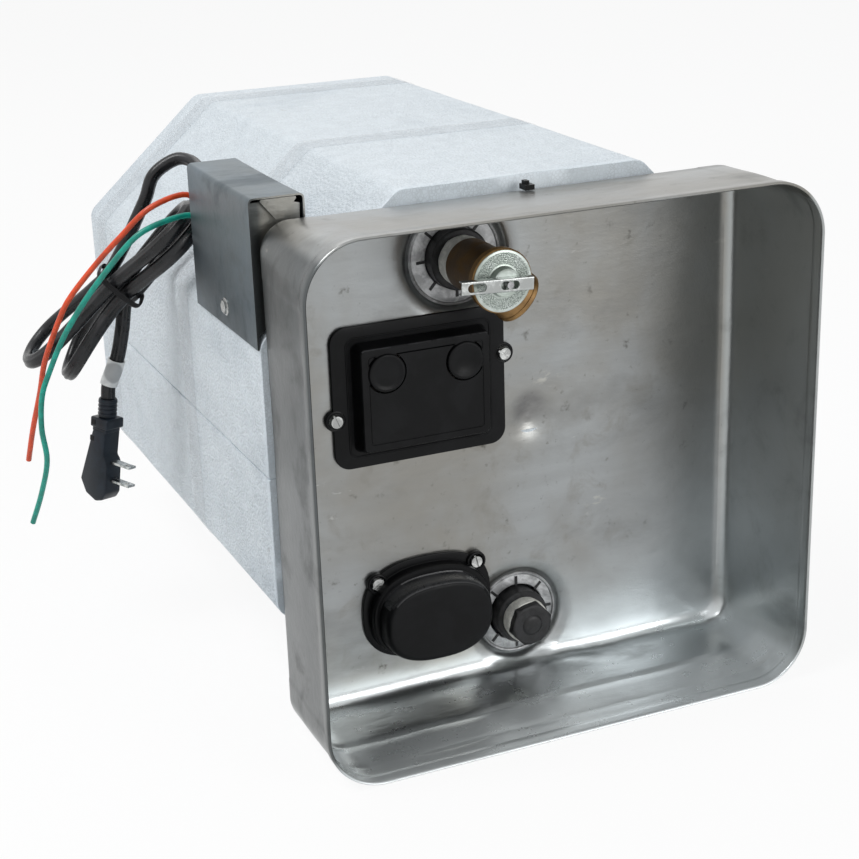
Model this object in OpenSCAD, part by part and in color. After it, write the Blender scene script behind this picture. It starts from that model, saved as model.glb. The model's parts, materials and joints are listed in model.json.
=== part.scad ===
// Electric storage water heater for a caravan: a square front pan, a foam-jacketed steel tank behind it,
// a relief valve, an anode drain plug, an immersion element, two reset switches, a wiring box and a cord.
// Front faces -Y, up is +Z, sizes in millimetres, origin at the middle of the footprint.

/* [Front pan] */
// Width and height of the pan at its front rim
pan_w = 322; // [300:1:360]
// Width and height of the pan at its back panel
pan_rear_w = 310; // [290:1:320]
// Depth of the pan from rim to back panel
pan_depth = 90; // [70:1:110]
// Corner radius of the pan at its rim
pan_corner_r = 35; // [30:1:50]
// Corner radius of the pan at its back panel
pan_rear_corner_r = 16; // [14:1:28]
// Sheet thickness of the pan
pan_sheet = 1.2; // [0.8:0.1:2]
// Thickness of the folded hem at the rim
hem_t = 2.4; // [1.6:0.1:4]
// Depth of the folded hem
hem_depth = 9; // [5:0.5:15]
// Bend radius between the walls and the back panel
pan_bend_r = 10; // [6:0.5:11]
// Radius of the pressed dishes round the tank fittings
dish_r = 29; // [26:0.5:31]
// Depth of the pressed dishes
dish_depth = 6; // [4:0.5:7]
// Radius of the small locating dimple in the back panel
dimple_r = 9; // [5:0.5:14]
// Depth of the locating dimple
dimple_depth = 3; // [1:0.5:5]

/* [Tank and jacket] */
// Width of the foam jacket
jacket_w = 314; // [310:1:330]
// Height of the foam jacket above its base
jacket_h = 324; // [318:1:330]
// Height of the two chamfers on the wiring side
chamfer_left = 79; // [70:1:82]
// Width of the two chamfers on the wiring side
chamfer_left_w = 88; // [80:1:92]
// Leg of the two chamfers on the other side
chamfer_right = 67; // [50:1:80]
// Radius of the long edges of the jacket
jacket_edge_r = 12; // [4:1:20]
// Radius round the back edge of the jacket
jacket_back_r = 8; // [3:1:14]
// Height of the jacket seam above the middle of the pan
seam_up = 2; // [-20:1:20]
// Least thickness of foam round the tank
foam_t = 12; // [8:0.5:14]
// Thickness of foam behind the tank
foam_back = 28; // [15:1:40]
// Sheet thickness of the tank
tank_wall = 2.5; // [1.5:0.1:4]
// Distance from the pan rim to the front head of the tank
tank_front = 98; // [97:0.5:104]
// Length of the straight tank shell with its front head
tank_shell_l = 330; // [300:1:340]
// Depth of the domed rear head
tank_dome = 34; // [20:1:40]
// Knuckle radius of the front head
knuckle_r = 5; // [3:0.5:8]
// Width of the clear tape bands
tape_w = 24; // [12:1:50]
// Thickness of the tape bands
tape_t = 0.4; // [0.2:0.1:1]

/* [Fittings] */
// Outside diameter of the relief and drain couplings
coupling_d = 37; // [34:0.5:40]
// Inside diameter of the relief and drain couplings
coupling_bore = 26; // [24:0.5:28]
// How far the couplings stand out in front of the pan's back panel
coupling_proud = 5; // [3:0.5:8]
// Sideways place of the relief valve
relief_x = -33.5; // [-40:0.5:-25]
// Distance of the relief valve below the top of the tank
relief_in = 26.5; // [26:0.5:32]
// Sideways place of the drain plug
drain_x = 3; // [0:0.5:10]
// Distance of the drain plug above the bottom of the tank
drain_in = 26; // [25:0.5:32]
// Across flats of the drain plug's hexagon
drain_hex = 27; // [22:0.5:32]
// Length of the drain plug's hexagon
drain_hex_l = 10; // [6:0.5:14]
// Diameter of the anode rod
anode_d = 19; // [14:0.5:22]
// Length of the anode rod
anode_l = 235; // [120:5:280]
// Outside diameter of the rear water couplings
water_d = 28; // [25:0.5:34]
// Inside diameter of the rear water couplings at their thread
water_bore = 18.4; // [16:0.1:21]
// Length of thread in the rear water couplings
water_thread = 20; // [14:1:26]
// Height of the hot outlet above the tank's axis, and of the cold inlet below it
water_z = 85; // [60:1:100]
// How far the rear water couplings stand out of the jacket
water_proud = 2; // [1:0.5:8]

/* [Relief valve] */
// Diameter of the brass body
valve_d = 31; // [30:0.5:34]
// Across flats of the body's hexagon next to the tank
valve_hex = 31; // [30:0.5:33]
// Diameter of the bonnet
bonnet_d = 37; // [35:0.5:39]
// Distance from the pan rim to the front of the label plate
label_y = 28; // [24:0.5:32]
// Diameter of the label plate
label_d = 35.5; // [30:0.5:36]
// Thickness of the label plate
label_t = 1; // [0.5:0.1:2]
// Radius of the hub that the test lever tips on
hub_r = 8; // [6:0.5:9]
// Height of the hub above the label plate
hub_h = 5; // [4:0.5:7]
// Diameter of the outlet barrel
outlet_d = 32; // [30:0.5:33]
// Diameter of the outlet bore
outlet_bore = 24.2; // [20:0.1:25]
// Depth of the outlet bore
outlet_thread = 14; // [10:0.5:15]
// Reach of the outlet from the valve's axis
outlet_reach = 31; // [30:0.5:36]
// Angle of the outlet below the horizontal
outlet_fall = 40; // [30:1:60]
// Diameter of the valve stem
stem_d = 4; // [3:0.1:5]
// Width of the test lever
lever_w = 7.6; // [7:0.1:9]
// Length of the test lever from the stem to its free end
lever_reach = 28; // [24:0.5:34]
// Length of the test lever's toe behind the stem
lever_toe = 14; // [10:0.5:15]
// Sheet thickness of the test lever
lever_t = 1; // [0.8:0.1:1.4]
// Depth of the test lever's folded edges
lever_edge = 3; // [2.4:0.1:4]
// Diameter of the lever pin
lever_pin_d = 2; // [1.6:0.1:2.4]

/* [Thermostat cover] */
// Width of the thermostat cover's flange
thermo_w = 111; // [104:1:116]
// Height of the thermostat cover's flange
thermo_h = 87; // [82:1:96]
// Width of the raised box at its front face
thermo_box_w = 81; // [79:1:90]
// Height of the raised box at its front face
thermo_box_h = 62; // [58:1:70]
// Height of the raised box above the back panel
thermo_proud = 13; // [11:0.5:16]
// Thickness of the cover's flange
flange_t = 2.5; // [1.5:0.1:3]
// Wall of the covers
cover_wall = 2.2; // [1.5:0.1:3]
// Sideways place of the thermostat cover
thermo_x = -61; // [-62:1:-60]
// Distance between the thermostat cover and the relief valve's dish
thermo_gap = 2; // [1:0.5:6]
// Diameter of the reset pads
pad_d = 24; // [18:0.5:26]
// Distance between the reset pads
pad_gap = 50; // [48:0.5:52]
// Height of the reset pads above the middle of the cover
pad_up = 16; // [12:0.5:17]
// Travel of a reset pad
pad_travel = 2.5; // [1:0.1:3]
// Diameter of the switch bodies
switch_d = 26; // [22:0.5:28]
// Diameter of the switch bases
switch_base_d = 33; // [30:0.5:36]
// Diameter of the reset buttons on the switches
button_d = 6; // [4:0.5:8]
// Diameter of the ears that hold the cover screws
ear_d = 13; // [11:0.5:15]
// Head diameter of the cover screws
screw_head_d = 9; // [7:0.5:10]
// Shank diameter of the cover screws
screw_d = 4; // [3:0.1:4.5]

/* [Element cover] */
// Width of the element cover's flange
element_w = 86; // [80:1:90]
// Height of the element cover's flange
element_h = 66; // [62:1:74]
// Width of the element cover's front face
element_face_w = 71; // [66:1:76]
// Height of the element cover's front face
element_face_h = 52; // [50:1:58]
// Height of the element cover above the back panel
element_proud = 24; // [22:0.5:30]
// Height of the element cover's step above the back panel
element_step = 10; // [6:0.5:14]
// Sideways place of the element
element_x = -61; // [-62:1:-60]
// Distance of the element cover's middle above the bottom of the tank
element_in = 48; // [46:0.5:56]
// Outside diameter of the element coupling
element_coupling_d = 46; // [43:0.5:48]
// Thread diameter of the element
element_thread_d = 33; // [30:0.5:35]
// Across flats of the element's hexagon
element_hex = 38; // [36:0.5:40]
// Diameter of the element's heating tube
heater_d = 8; // [6:0.5:10]
// Distance between the two legs of the heating tube
heater_gap = 18; // [14:0.5:22]
// Length of the heating tube inside the tank
heater_l = 220; // [150:5:260]

/* [Wiring] */
// Width of the wiring box
box_w = 33; // [30:0.5:40]
// Height of the wiring box's outer wall
box_h = 87; // [84:0.5:92]
// Length of the wiring box
box_l = 116; // [100:1:125]
// Height of the wiring box's top above the jacket
box_rise = 4.5; // [3:0.5:9]
// Sheet thickness of the wiring box
box_sheet = 1; // [0.6:0.1:1.5]
// Diameter of the mains cord
cord_d = 9.5; // [8:0.1:9.6]
// Diameter of the loose wires
wire_d = 4; // [3:0.1:4.4]
// Length of the tapered cord sleeve behind the wiring box
sleeve_l = 22; // [20:1:23]
// Width of the plug body
plug_w = 24; // [20:0.5:30]
// Length of the plug's flat blades
blade_l = 17; // [14:0.5:20]
// Width of the plug's flat blades
blade_w = 6.4; // [6:0.1:7]
// Thickness of the plug's flat blades
blade_t = 1.5; // [1:0.1:2]
// Distance between the plug's flat blades
blade_gap = 12.7; // [11:0.1:14]

/* [Clearances] */
// Clearance between nested pieces that don't move
fit = 0.1; // [0.05:0.05:0.2]
// Clearance between a moving piece and its neighbour
run = 0.3; // [0.2:0.05:0.4]
// Clearance between a pin or stem and its hole
slide_fit = 0.06; // [0.02:0.01:0.1]

/* [Hidden] */
$fn = 64;

// Jacket edges and the tank inside it, measured from the middle of the pan
jacket_base = -pan_w / 2;
jacket_top = jacket_base + jacket_h;
jacket_left = -jacket_w / 2;
tank_d = 2 * (min(jacket_w / 2, jacket_top, -jacket_base) - foam_t);
tank_rear = tank_front + tank_shell_l + tank_dome;
jacket_rear = tank_rear + foam_back;

// Heights of the fittings, measured from the tank's axis
relief_z = tank_d / 2 - relief_in;
drain_z = drain_in - tank_d / 2;
thermo_z = relief_z - dish_r - thermo_gap - thermo_h / 2;
element_z = element_in - tank_d / 2;

// Levels along Y, measured from the pan's rim
overall_d = jacket_rear + water_proud;
panel_y = pan_depth - pan_sheet;
dish_floor_y = panel_y + dish_depth;
coupling_y = panel_y - coupling_proud;
jacket_front = pan_depth + run;

// The element's axis lies below the middle of its cover's flange
face_drop = 3;
element_axis_z = element_z - face_drop;

// Vectors and outlines
function unit(v) = v / norm(v);
function corner_arc(a, v, b, r, n) =
    let (d1 = unit(a - v), d2 = unit(b - v), half = acos(d1 * d2) / 2)
    let (c = v + unit(d1 + d2) * r / sin(half), p = v + d1 * r / tan(half) - c)
    let (start = atan2(p.y, p.x), turn = 180 - 2 * half)
    [for (k = [0:n]) c + r * [cos(start + turn * k / n), sin(start + turn * k / n)]];
function rounded(v, r, n = 6) =
    [for (i = [0:len(v) - 1]) each corner_arc(v[(i + len(v) - 1) % len(v)], v[i], v[(i + 1) % len(v)], r, n)];
function rectangle(w, h) = [[-w / 2, -h / 2], [w / 2, -h / 2], [w / 2, h / 2], [-w / 2, h / 2]];
function ring_at(outline, y) = [for (p = outline) [p.x, y, p.y]];

// A closed skin over a row of rings with equal counts of points
module loft(rings) {
    n = len(rings[0]);
    last = (len(rings) - 1) * n;
    polyhedron(
        points = [for (r = rings) each r],
        faces = [
            for (k = [1:n - 2]) [0, k + 1, k],
            for (j = [0:len(rings) - 2], i = [0:n - 1], half = [0:1])
                half == 0
                    ? [j * n + i, j * n + (i + 1) % n, (j + 1) * n + (i + 1) % n]
                    : [j * n + i, (j + 1) * n + (i + 1) % n, (j + 1) * n + i],
            for (k = [1:n - 2]) [last, last + k, last + k + 1]
        ]
    );
}

// Round bars, tubes, plates and revolved shapes that run along Y
module y_bar(r, y0, y1) { translate([0, y0, 0]) rotate([-90, 0, 0]) cylinder(r = r, h = y1 - y0); }
module y_cone(r0, r1, y0, y1) { translate([0, y0, 0]) rotate([-90, 0, 0]) cylinder(r1 = r0, r2 = r1, h = y1 - y0); }
module y_tube(ro, ri, y0, y1) {
    difference() {
        y_bar(ro, y0, y1);
        y_bar(ri, y0 - 1, y1 + 1);
    }
}
module y_plate(y0, y1) { translate([0, y1, 0]) rotate([90, 0, 0]) linear_extrude(y1 - y0) children(); }
module y_hex(af, y0, y1) { translate([0, y0, 0]) rotate([-90, 30, 0]) cylinder(d = af / cos(30), h = y1 - y0, $fn = 6); }
module y_revolve() { rotate([-90, 0, 0]) rotate_extrude() children(); }
module at(x, z) { translate([x, 0, z]) children(); }

// Moves everything from the pan's own middle to the middle of the footprint
module placed() { translate([0, -overall_d / 2, pan_w / 2]) children(); }

// Smooth routes and the tubes that follow them
function between(a, b, c, d, t) =
    0.5 * (2 * b + (c - a) * t + (2 * a - 5 * b + 4 * c - d) * t * t + (3 * b - a - 3 * c + d) * t * t * t);
function smooth(p, n) = [
    for (i = [0:len(p) - 2], k = [0:n - 1])
        between(p[max(i - 1, 0)], p[i], p[i + 1], p[min(i + 2, len(p) - 1)], k / n),
    p[len(p) - 1]
];
function heading(p, i) = unit(p[min(i + 1, len(p) - 1)] - p[max(i - 1, 0)]);
function tube_ring(p, i, r, sides, side_dir, t0, t1) =
    let (t = i == 0 ? t0 : i == len(p) - 1 ? t1 : heading(p, i))
    let (a = unit(cross(side_dir, t)), b = cross(t, a))
    [for (k = [0:sides - 1]) p[i] + r * (cos(360 * k / sides) * a + sin(360 * k / sides) * b)];
function tube_rings(p, r, sides, side_dir, t0, t1) =
    [for (i = [0:len(p) - 1]) tube_ring(p, i, r, sides, side_dir, unit(t0), unit(t1))];

// Front pan: tapered walls, rounded corners, a hemmed rim and a pressed back panel
function pan_width(y) = pan_w - (pan_w - pan_rear_w) * y / pan_depth;
function pan_corner(y) = pan_corner_r - (pan_corner_r - pan_rear_corner_r) * y / pan_depth;
function pan_ring(y, inset) =
    ring_at(rounded(rectangle(pan_width(y) - 2 * inset, pan_width(y) - 2 * inset), pan_corner(y) - inset), y);
bend_steps = [0, 30, 60, 90];
module pan_skin(inset, back, front) {
    bend_y = back - pan_bend_r;
    loft(concat(front, [for (a = bend_steps)
        let (y = bend_y + pan_bend_r * sin(a))
        ring_at(rounded(
            rectangle(pan_width(bend_y) - 2 * inset - 2 * pan_bend_r * (1 - cos(a)),
                pan_width(bend_y) - 2 * inset - 2 * pan_bend_r * (1 - cos(a))),
            pan_corner(bend_y) - inset - pan_bend_r * (1 - cos(a)) / 2), y)]));
}
module dish_back() {
    y_bar(dish_r + pan_sheet, panel_y - pan_bend_r / 2, panel_y);
    y_cone(dish_r + pan_sheet, dish_r - dish_depth / 2 + pan_sheet, panel_y, dish_floor_y + pan_sheet);
}
module dish_pocket() {
    y_bar(dish_r, panel_y - pan_bend_r / 2, panel_y);
    y_cone(dish_r, dish_r - dish_depth / 2, panel_y - fit, dish_floor_y);
    y_bar(coupling_d / 2 + 1.5, panel_y, dish_floor_y + 2 * pan_sheet);
}
dimple_x = 12;
dimple_z = 12;
module front_pan() {
    color("#a9adb0") placed() difference() {
        union() {
            pan_skin(0, pan_depth, [pan_ring(0, 0)]);
            at(relief_x, relief_z) dish_back();
            at(drain_x, drain_z) dish_back();
            at(dimple_x, dimple_z) y_bar(dimple_r, panel_y, pan_depth + dimple_depth);
        }
        pan_skin(pan_sheet, panel_y, [
            pan_ring(-1, hem_t), pan_ring(hem_depth, hem_t), pan_ring(hem_depth + fit, pan_sheet)]);
        at(relief_x, relief_z) dish_pocket();
        at(drain_x, drain_z) dish_pocket();
        at(dimple_x, dimple_z) y_cone(dimple_r - pan_sheet, dimple_r / 3, panel_y - fit, panel_y + dimple_depth);
        at(element_x, element_axis_z) y_bar(element_coupling_d / 2 + 1, panel_y - 1, pan_depth + 1);
        at(thermo_x, thermo_z + pad_up) y_plate(panel_y - 1, pan_depth + 1)
            square([pad_gap + switch_d + 2, switch_d + 2], center = true);
        cover_screw_places() y_bar(screw_d / 2 + fit, panel_y - 1, pan_depth + 1);
    }
}

// Foam jacket: an eight-sided moulding in two halves round the tank
function jacket_outline(grow) =
    let (l = jacket_left - grow, r = -jacket_left + grow, b = jacket_base - grow, t = jacket_top + grow)
    let (slope = norm([chamfer_left, chamfer_left_w]), cr = chamfer_right + grow * (2 - sqrt(2)))
    let (cw = chamfer_left_w + grow * (1 + (chamfer_left_w - slope) / chamfer_left))
    let (ch = chamfer_left + grow * (1 + (chamfer_left - slope) / chamfer_left_w))
    rounded([[l + cw, b], [r - cr, b], [r, b + cr], [r, t - cr], [r - cr, t], [l + cw, t], [l, t - ch], [l, b + ch]],
        jacket_edge_r + grow, 4);
module jacket_block() {
    loft(concat(
        [ring_at(jacket_outline(0), jacket_front)],
        [for (a = [0, 30, 60, 90])
            ring_at(jacket_outline(-jacket_back_r * (1 - cos(a))), jacket_rear - jacket_back_r * (1 - sin(a)))]));
}
module jacket_core() {
    tank_body(fit * 3);
    y_bar(tank_d / 2 + fit * 3, jacket_front - 1, tank_front + knuckle_r * 2);
    at(relief_x, relief_z) y_bar(dish_r + pan_sheet + run, jacket_front - 1, dish_floor_y + pan_sheet + run);
    at(drain_x, drain_z) y_bar(dish_r + pan_sheet + run, jacket_front - 1, dish_floor_y + pan_sheet + run);
    for (s = [-1, 1]) at(0, s * water_z) y_bar(water_d / 2 + fit, tank_rear - tank_dome, jacket_rear + 1);
}
module jacket_half(z0, z1) {
    intersection() {
        difference() {
            jacket_block();
            jacket_core();
        }
        translate([jacket_left - 1, jacket_front - 1, z0]) cube([jacket_w + 2, jacket_rear, z1 - z0]);
    }
}
module jacket_upper() { color("#f0f2f3") placed() jacket_half(seam_up + fit, jacket_top + 1); }
module jacket_lower() { color("#ebedee") placed() jacket_half(jacket_base - 1, seam_up - fit); }

// Clear tape round the jacket, ending on the lower chamfers
tape_y = [232, jacket_rear - tape_w - 26];
tape_low = jacket_base + chamfer_right / 2;
module jacket_tape() {
    color("#dfe6ea", 0.6) placed() intersection() {
        for (y = tape_y) y_plate(y, y + tape_w) difference() {
            polygon(jacket_outline(fit + tape_t));
            polygon(jacket_outline(fit));
        }
        translate([jacket_left - 5, 0, tape_low]) cube([jacket_w + 10, jacket_rear, jacket_h]);
    }
}

// Small edge clip on top of the pan, just in front of the jacket
clip_x = 8;
clip_w = 6;
clip_l = 8;
clip_h = 3;
clip_y = pan_depth - pan_bend_r - clip_l / 2;
module jacket_clip() {
    color("#1b1b1c") placed() translate([clip_x - clip_w / 2, clip_y, pan_width(clip_y) / 2 + fit]) {
        cube([clip_w, clip_l, clip_h]);
        translate([clip_w / 4, clip_l / 2, 0]) cube([clip_w / 2, clip_l / 2, clip_h * 1.6]);
    }
}

// Tank: flat front head with a knuckle, straight shell and domed rear head
function tank_profile(grow) =
    let (r = tank_d / 2 + grow, k = knuckle_r, shell_end = tank_front + tank_shell_l)
    concat([[0, tank_front - grow]],
        [for (a = [-90:15:0]) [r - k + k * cos(a), tank_front - grow + k + k * sin(a)]],
        [for (a = [0:10:80]) [r * cos(a), shell_end + (tank_dome + grow) * sin(a)]],
        [[0, shell_end + tank_dome + grow]]);
module tank_body(grow) { y_revolve() polygon(tank_profile(grow)); }
module tank() {
    color("#4a4d50") placed() difference() {
        tank_body(0);
        tank_body(-tank_wall);
        at(relief_x, relief_z) y_bar(coupling_d / 2 + fit, tank_front - 1, coupling_end + 1);
        at(drain_x, drain_z) y_bar(coupling_d / 2 + fit, tank_front - 1, coupling_end + 1);
        at(element_x, element_axis_z) y_bar(element_coupling_d / 2 + fit, tank_front - 1, coupling_end + 1);
        for (s = [-1, 1]) at(0, s * water_z) y_bar(water_d / 2 + fit, tank_rear - tank_dome, tank_rear);
    }
}

// Threaded couplings welded through the tank's heads
coupling_in = 6;
coupling_end = tank_front + coupling_in;
module front_coupling() { y_tube(coupling_d / 2, coupling_bore / 2, coupling_y, coupling_end); }
module relief_coupling() { color("#1d1e20") placed() at(relief_x, relief_z) front_coupling(); }
module drain_coupling() { color("#1d1e20") placed() at(drain_x, drain_z) front_coupling(); }
module element_coupling() {
    color("#2a2b2d") placed() at(element_x, element_axis_z)
        y_tube(element_coupling_d / 2, element_thread_d / 2 + fit, coupling_y, coupling_end);
}
water_start = tank_rear - tank_dome;
module water_coupling() {
    difference() {
        y_bar(water_d / 2, water_start, overall_d);
        y_bar(water_bore / 2, overall_d - water_thread, overall_d + 1);
        y_bar(water_bore / 2 - 1, water_start - 1, overall_d);
    }
}
module hot_outlet() { color("#8d8f91") placed() at(0, water_z) water_coupling(); }
module cold_inlet() { color("#8d8f91") placed() at(0, -water_z) water_coupling(); }

// Slit rings that grip the couplings in the floor of the dishes
ring_t = 1;
ring_outer = dish_r - dish_depth / 2 - 1;
slit_w = 1.8;
slit_l = 4.5;
slit_count = 8;
module slit_ring(turn) {
    difference() {
        y_tube(ring_outer, coupling_d / 2 + fit, dish_floor_y - ring_t, dish_floor_y);
        for (k = [0:slit_count - 1]) rotate([0, 360 * k / slit_count + turn, 0])
            translate([0, dish_floor_y - ring_t - 1, -slit_w / 2]) cube([coupling_d / 2 + slit_l, ring_t + 2, slit_w]);
    }
}
module retaining_rings() {
    color("#8a8d90") placed() {
        at(relief_x, relief_z) slit_ring(5);
        at(drain_x, drain_z) slit_ring(-2);
    }
}

// White sealing tape that shows on the threads in front of the couplings
sealant_l = 4.5;
sealant_t = 0.8;
shank_r = coupling_bore / 2 - fit;
shoulder_y = coupling_y - sealant_l;
module sealing_wrap() { y_tube(shank_r + sealant_t, shank_r + fit / 2, shoulder_y, coupling_y); }
module thread_tape() {
    color("#e9e6da") placed() {
        at(relief_x, relief_z) sealing_wrap();
        at(drain_x, drain_z) sealing_wrap();
    }
}

// Relief valve: brass body, bonnet, label plate, stem, disc, spring and test lever
bonnet_t = 6;
bonnet_y = label_y + label_t;
body_front_y = bonnet_y + bonnet_t;
seat_y = shoulder_y - 3;
spring_r = 7.5;
chamber_r = 10;
outlet_y = seat_y - outlet_d / 2 - 4;
valve_hex_l = 12;
module along_outlet() { rotate([0, outlet_fall, 0]) rotate([0, 90, 0]) children(); }
module relief_valve_body() {
    color("#7a5a34") placed() at(relief_x, relief_z) difference() {
        union() {
            y_bar(valve_d / 2, body_front_y, shoulder_y - valve_hex_l);
            y_hex(valve_hex, shoulder_y - valve_hex_l, shoulder_y);
            y_bar(shank_r, shoulder_y - fit, coupling_end);
            translate([0, outlet_y, 0]) along_outlet() cylinder(d = outlet_d, h = outlet_reach);
        }
        y_bar(chamber_r, body_front_y - 1, seat_y);
        y_bar(chamber_r - 3, seat_y - 1, coupling_end + 1);
        translate([0, outlet_y, 0]) along_outlet() {
            cylinder(r = chamber_r - 2, h = outlet_reach);
            translate([0, 0, outlet_reach - outlet_thread]) cylinder(d = outlet_bore, h = outlet_thread + 1);
        }
    }
}
module valve_bonnet() {
    color("#8c6a3e") placed() at(relief_x, relief_z) difference() {
        union() {
            y_bar(bonnet_d / 2, bonnet_y, body_front_y);
            y_bar(hub_r, label_y - hub_h, bonnet_y + fit);
        }
        y_bar(stem_d / 2 + slide_fit, label_y - hub_h - 1, body_front_y + 1);
    }
}
module label_plate() {
    color("#c9ccc6") placed() at(relief_x, relief_z) y_tube(label_d / 2, hub_r + fit, label_y, bonnet_y);
}
lever_back_y = label_y - hub_h - run;
lever_web_y = lever_back_y - lever_t;
lever_front_y = lever_web_y - lever_edge;
pin_y = lever_web_y - lever_edge / 2;
stem_top_y = pin_y - lever_pin_d;
disc_t = 3;
module valve_stem() {
    color("#b9a06a") placed() at(relief_x, relief_z) difference() {
        y_bar(stem_d / 2, stem_top_y, seat_y - slide_fit - disc_t);
        translate([0, pin_y, -stem_d]) cylinder(d = lever_pin_d + 2 * slide_fit, h = 2 * stem_d);
    }
}
module valve_disc() {
    color("#2b2b2b") placed() at(relief_x, relief_z) y_bar(chamber_r - 1.5, seat_y - slide_fit - disc_t, seat_y - slide_fit);
}
spring_turns = 6;
spring_wire = 1.6;
spring_y0 = body_front_y + spring_wire;
spring_y1 = seat_y - disc_t - spring_wire;
spring_points = [for (k = [0:8 * spring_turns])
    [spring_r * cos(45 * k), spring_y0 + (spring_y1 - spring_y0) * k / (8 * spring_turns), spring_r * sin(45 * k)]];
module relief_spring() {
    color("#9a9c9e") placed() at(relief_x, relief_z)
        loft(tube_rings(spring_points, spring_wire / 2, 6, [0, 1, 0],
            spring_points[1] - spring_points[0], spring_points[8 * spring_turns] - spring_points[8 * spring_turns - 1]));
}
module lever_pin() {
    color("#b9bcc0") placed() translate([relief_x, pin_y, relief_z - lever_w / 2])
        cylinder(d = lever_pin_d, h = lever_w);
}
lever_slot_l = 10.5;
lever_slot_w = stem_d + 2 * run;
module lever_slot() {
    translate([-lever_slot_l / 2, 0]) circle(d = lever_slot_w);
    translate([lever_slot_l / 2, 0]) circle(d = lever_slot_w);
    square([lever_slot_l, lever_slot_w], center = true);
}
finger_slot_x = -lever_reach + lever_slot_l;
module test_lever() {
    color("#c3c6c8") placed() at(relief_x, relief_z) difference() {
        y_plate(lever_front_y, lever_back_y) translate([-lever_reach, -lever_w / 2]) square([lever_reach + lever_toe, lever_w]);
        y_plate(lever_front_y - 1, lever_web_y) translate([-lever_reach - 1, lever_t - lever_w / 2])
            square([lever_reach + lever_toe + 2, lever_w - 2 * lever_t]);
        y_plate(lever_web_y - 1, lever_back_y + 1) lever_slot();
        translate([finger_slot_x, 0, 0]) y_plate(lever_web_y - 1, lever_back_y + 1) lever_slot();
        translate([0, pin_y, -lever_w]) cylinder(d = lever_pin_d + 2 * slide_fit, h = 2 * lever_w);
    }
}
probe_r = 4;
probe_l = 100;
module temperature_probe() {
    color("#b56a3c") placed() at(relief_x, relief_z) {
        y_bar(probe_r, coupling_end, coupling_end + probe_l);
        y_bar(chamber_r - 1, coupling_end, coupling_end + 2);
    }
}

// Drain plug with its anode rod
boss_r = 5.5;
boss_h = 3;
module drain_plug() {
    color("#3a3b3c") placed() at(drain_x, drain_z) {
        intersection() {
            y_hex(drain_hex, shoulder_y - drain_hex_l, shoulder_y);
            y_cone(drain_hex / 2 - 0.5, drain_hex / 2 + drain_hex_l, shoulder_y - drain_hex_l, shoulder_y);
        }
        y_bar(shank_r, shoulder_y - fit, coupling_end);
        y_cone(boss_r - 1, boss_r, shoulder_y - drain_hex_l - boss_h, shoulder_y - drain_hex_l);
    }
}
module anode_rod() { color("#9b9d9a") placed() at(drain_x, drain_z) y_bar(anode_d / 2, coupling_end, coupling_end + anode_l); }

// Immersion element behind its cover
hex_l = 7;
gasket_t = 1.5;
element_head_y = coupling_y - gasket_t;
terminal_l = 6;
module heating_element() {
    color("#b8babc") placed() at(element_x, element_axis_z) {
        y_hex(element_hex, element_head_y - hex_l, element_head_y);
        y_bar(element_thread_d / 2, element_head_y - fit, coupling_end);
    }
}
module element_gasket() {
    color("#202020") placed() at(element_x, element_axis_z)
        y_tube(element_hex / 2 + 2, element_thread_d / 2 + fit, element_head_y, coupling_y);
}
module element_loop() {
    color("#5b5d5f") placed() at(element_x, element_axis_z) {
        for (s = [-1, 1]) at(s * heater_gap / 2, 0) y_bar(heater_d / 2, coupling_end, coupling_end + heater_l);
        translate([0, coupling_end + heater_l, 0]) rotate_extrude(angle = 180)
            translate([heater_gap / 2, 0]) circle(d = heater_d);
    }
}
terminal_r = 3;
module element_terminals() {
    color("#d9cfa8") placed() at(element_x, element_axis_z) {
        translate([-element_hex / 2 + 3, element_head_y - hex_l - terminal_l / 2, -8])
            cube([element_hex - 6, terminal_l / 2, 16]);
        for (s = [-1, 1]) at(s * heater_gap / 2, 0)
            y_bar(terminal_r, element_head_y - hex_l - terminal_l, element_head_y - hex_l - terminal_l / 2 + fit);
    }
}

// Covers: a flange with ears, and a hollow raised part
thermo_ears = [[-thermo_w / 2 + 1.5, -12], [thermo_w / 2 - 0.5, 13]];
element_ears = [[-33, 21], [33, 22.5]];
module cover_screw_places() {
    for (e = thermo_ears) at(thermo_x + e.x, thermo_z + e.y) children();
    for (e = element_ears) at(element_x + e.x, element_z + e.y) children();
}
flange_y = panel_y - flange_t;
module flange_ears(ears) {
    for (e = ears) at(e.x, e.y) y_bar(ear_d / 2, flange_y, panel_y);
}
module ear_holes(ears) {
    for (e = ears) at(e.x, e.y) y_bar(screw_d / 2 + fit, flange_y - 40, panel_y + 1);
}
thermo_corner_r = 10;
box_corner_r = 4;
box_taper = 4;
thermo_front_y = panel_y - thermo_proud;
function box_ring(y, grow) =
    ring_at(rounded(rectangle(thermo_box_w + grow, thermo_box_h + grow), box_corner_r + grow / 2, 3), y);
pad_r = pad_d / 2;
module pad_places() {
    for (s = [-1, 1]) at(thermo_x + s * pad_gap / 2, thermo_z + pad_up) children();
}
module thermostat_cover() {
    color("#1a1b1c") placed() difference() {
        union() {
            at(thermo_x, thermo_z) {
                y_plate(flange_y, panel_y) polygon(rounded(rectangle(thermo_w, thermo_h), thermo_corner_r));
                flange_ears(thermo_ears);
                loft([box_ring(thermo_front_y, 0), box_ring(flange_y + fit, box_taper)]);
            }
        }
        at(thermo_x, thermo_z) {
            loft([box_ring(thermo_front_y + cover_wall, -2 * cover_wall), box_ring(panel_y + 1, box_taper - 2 * cover_wall)]);
            ear_holes(thermo_ears);
        }
        pad_places() y_bar(pad_r + run, thermo_front_y - 1, thermo_front_y + cover_wall + 1);
    }
}
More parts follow.
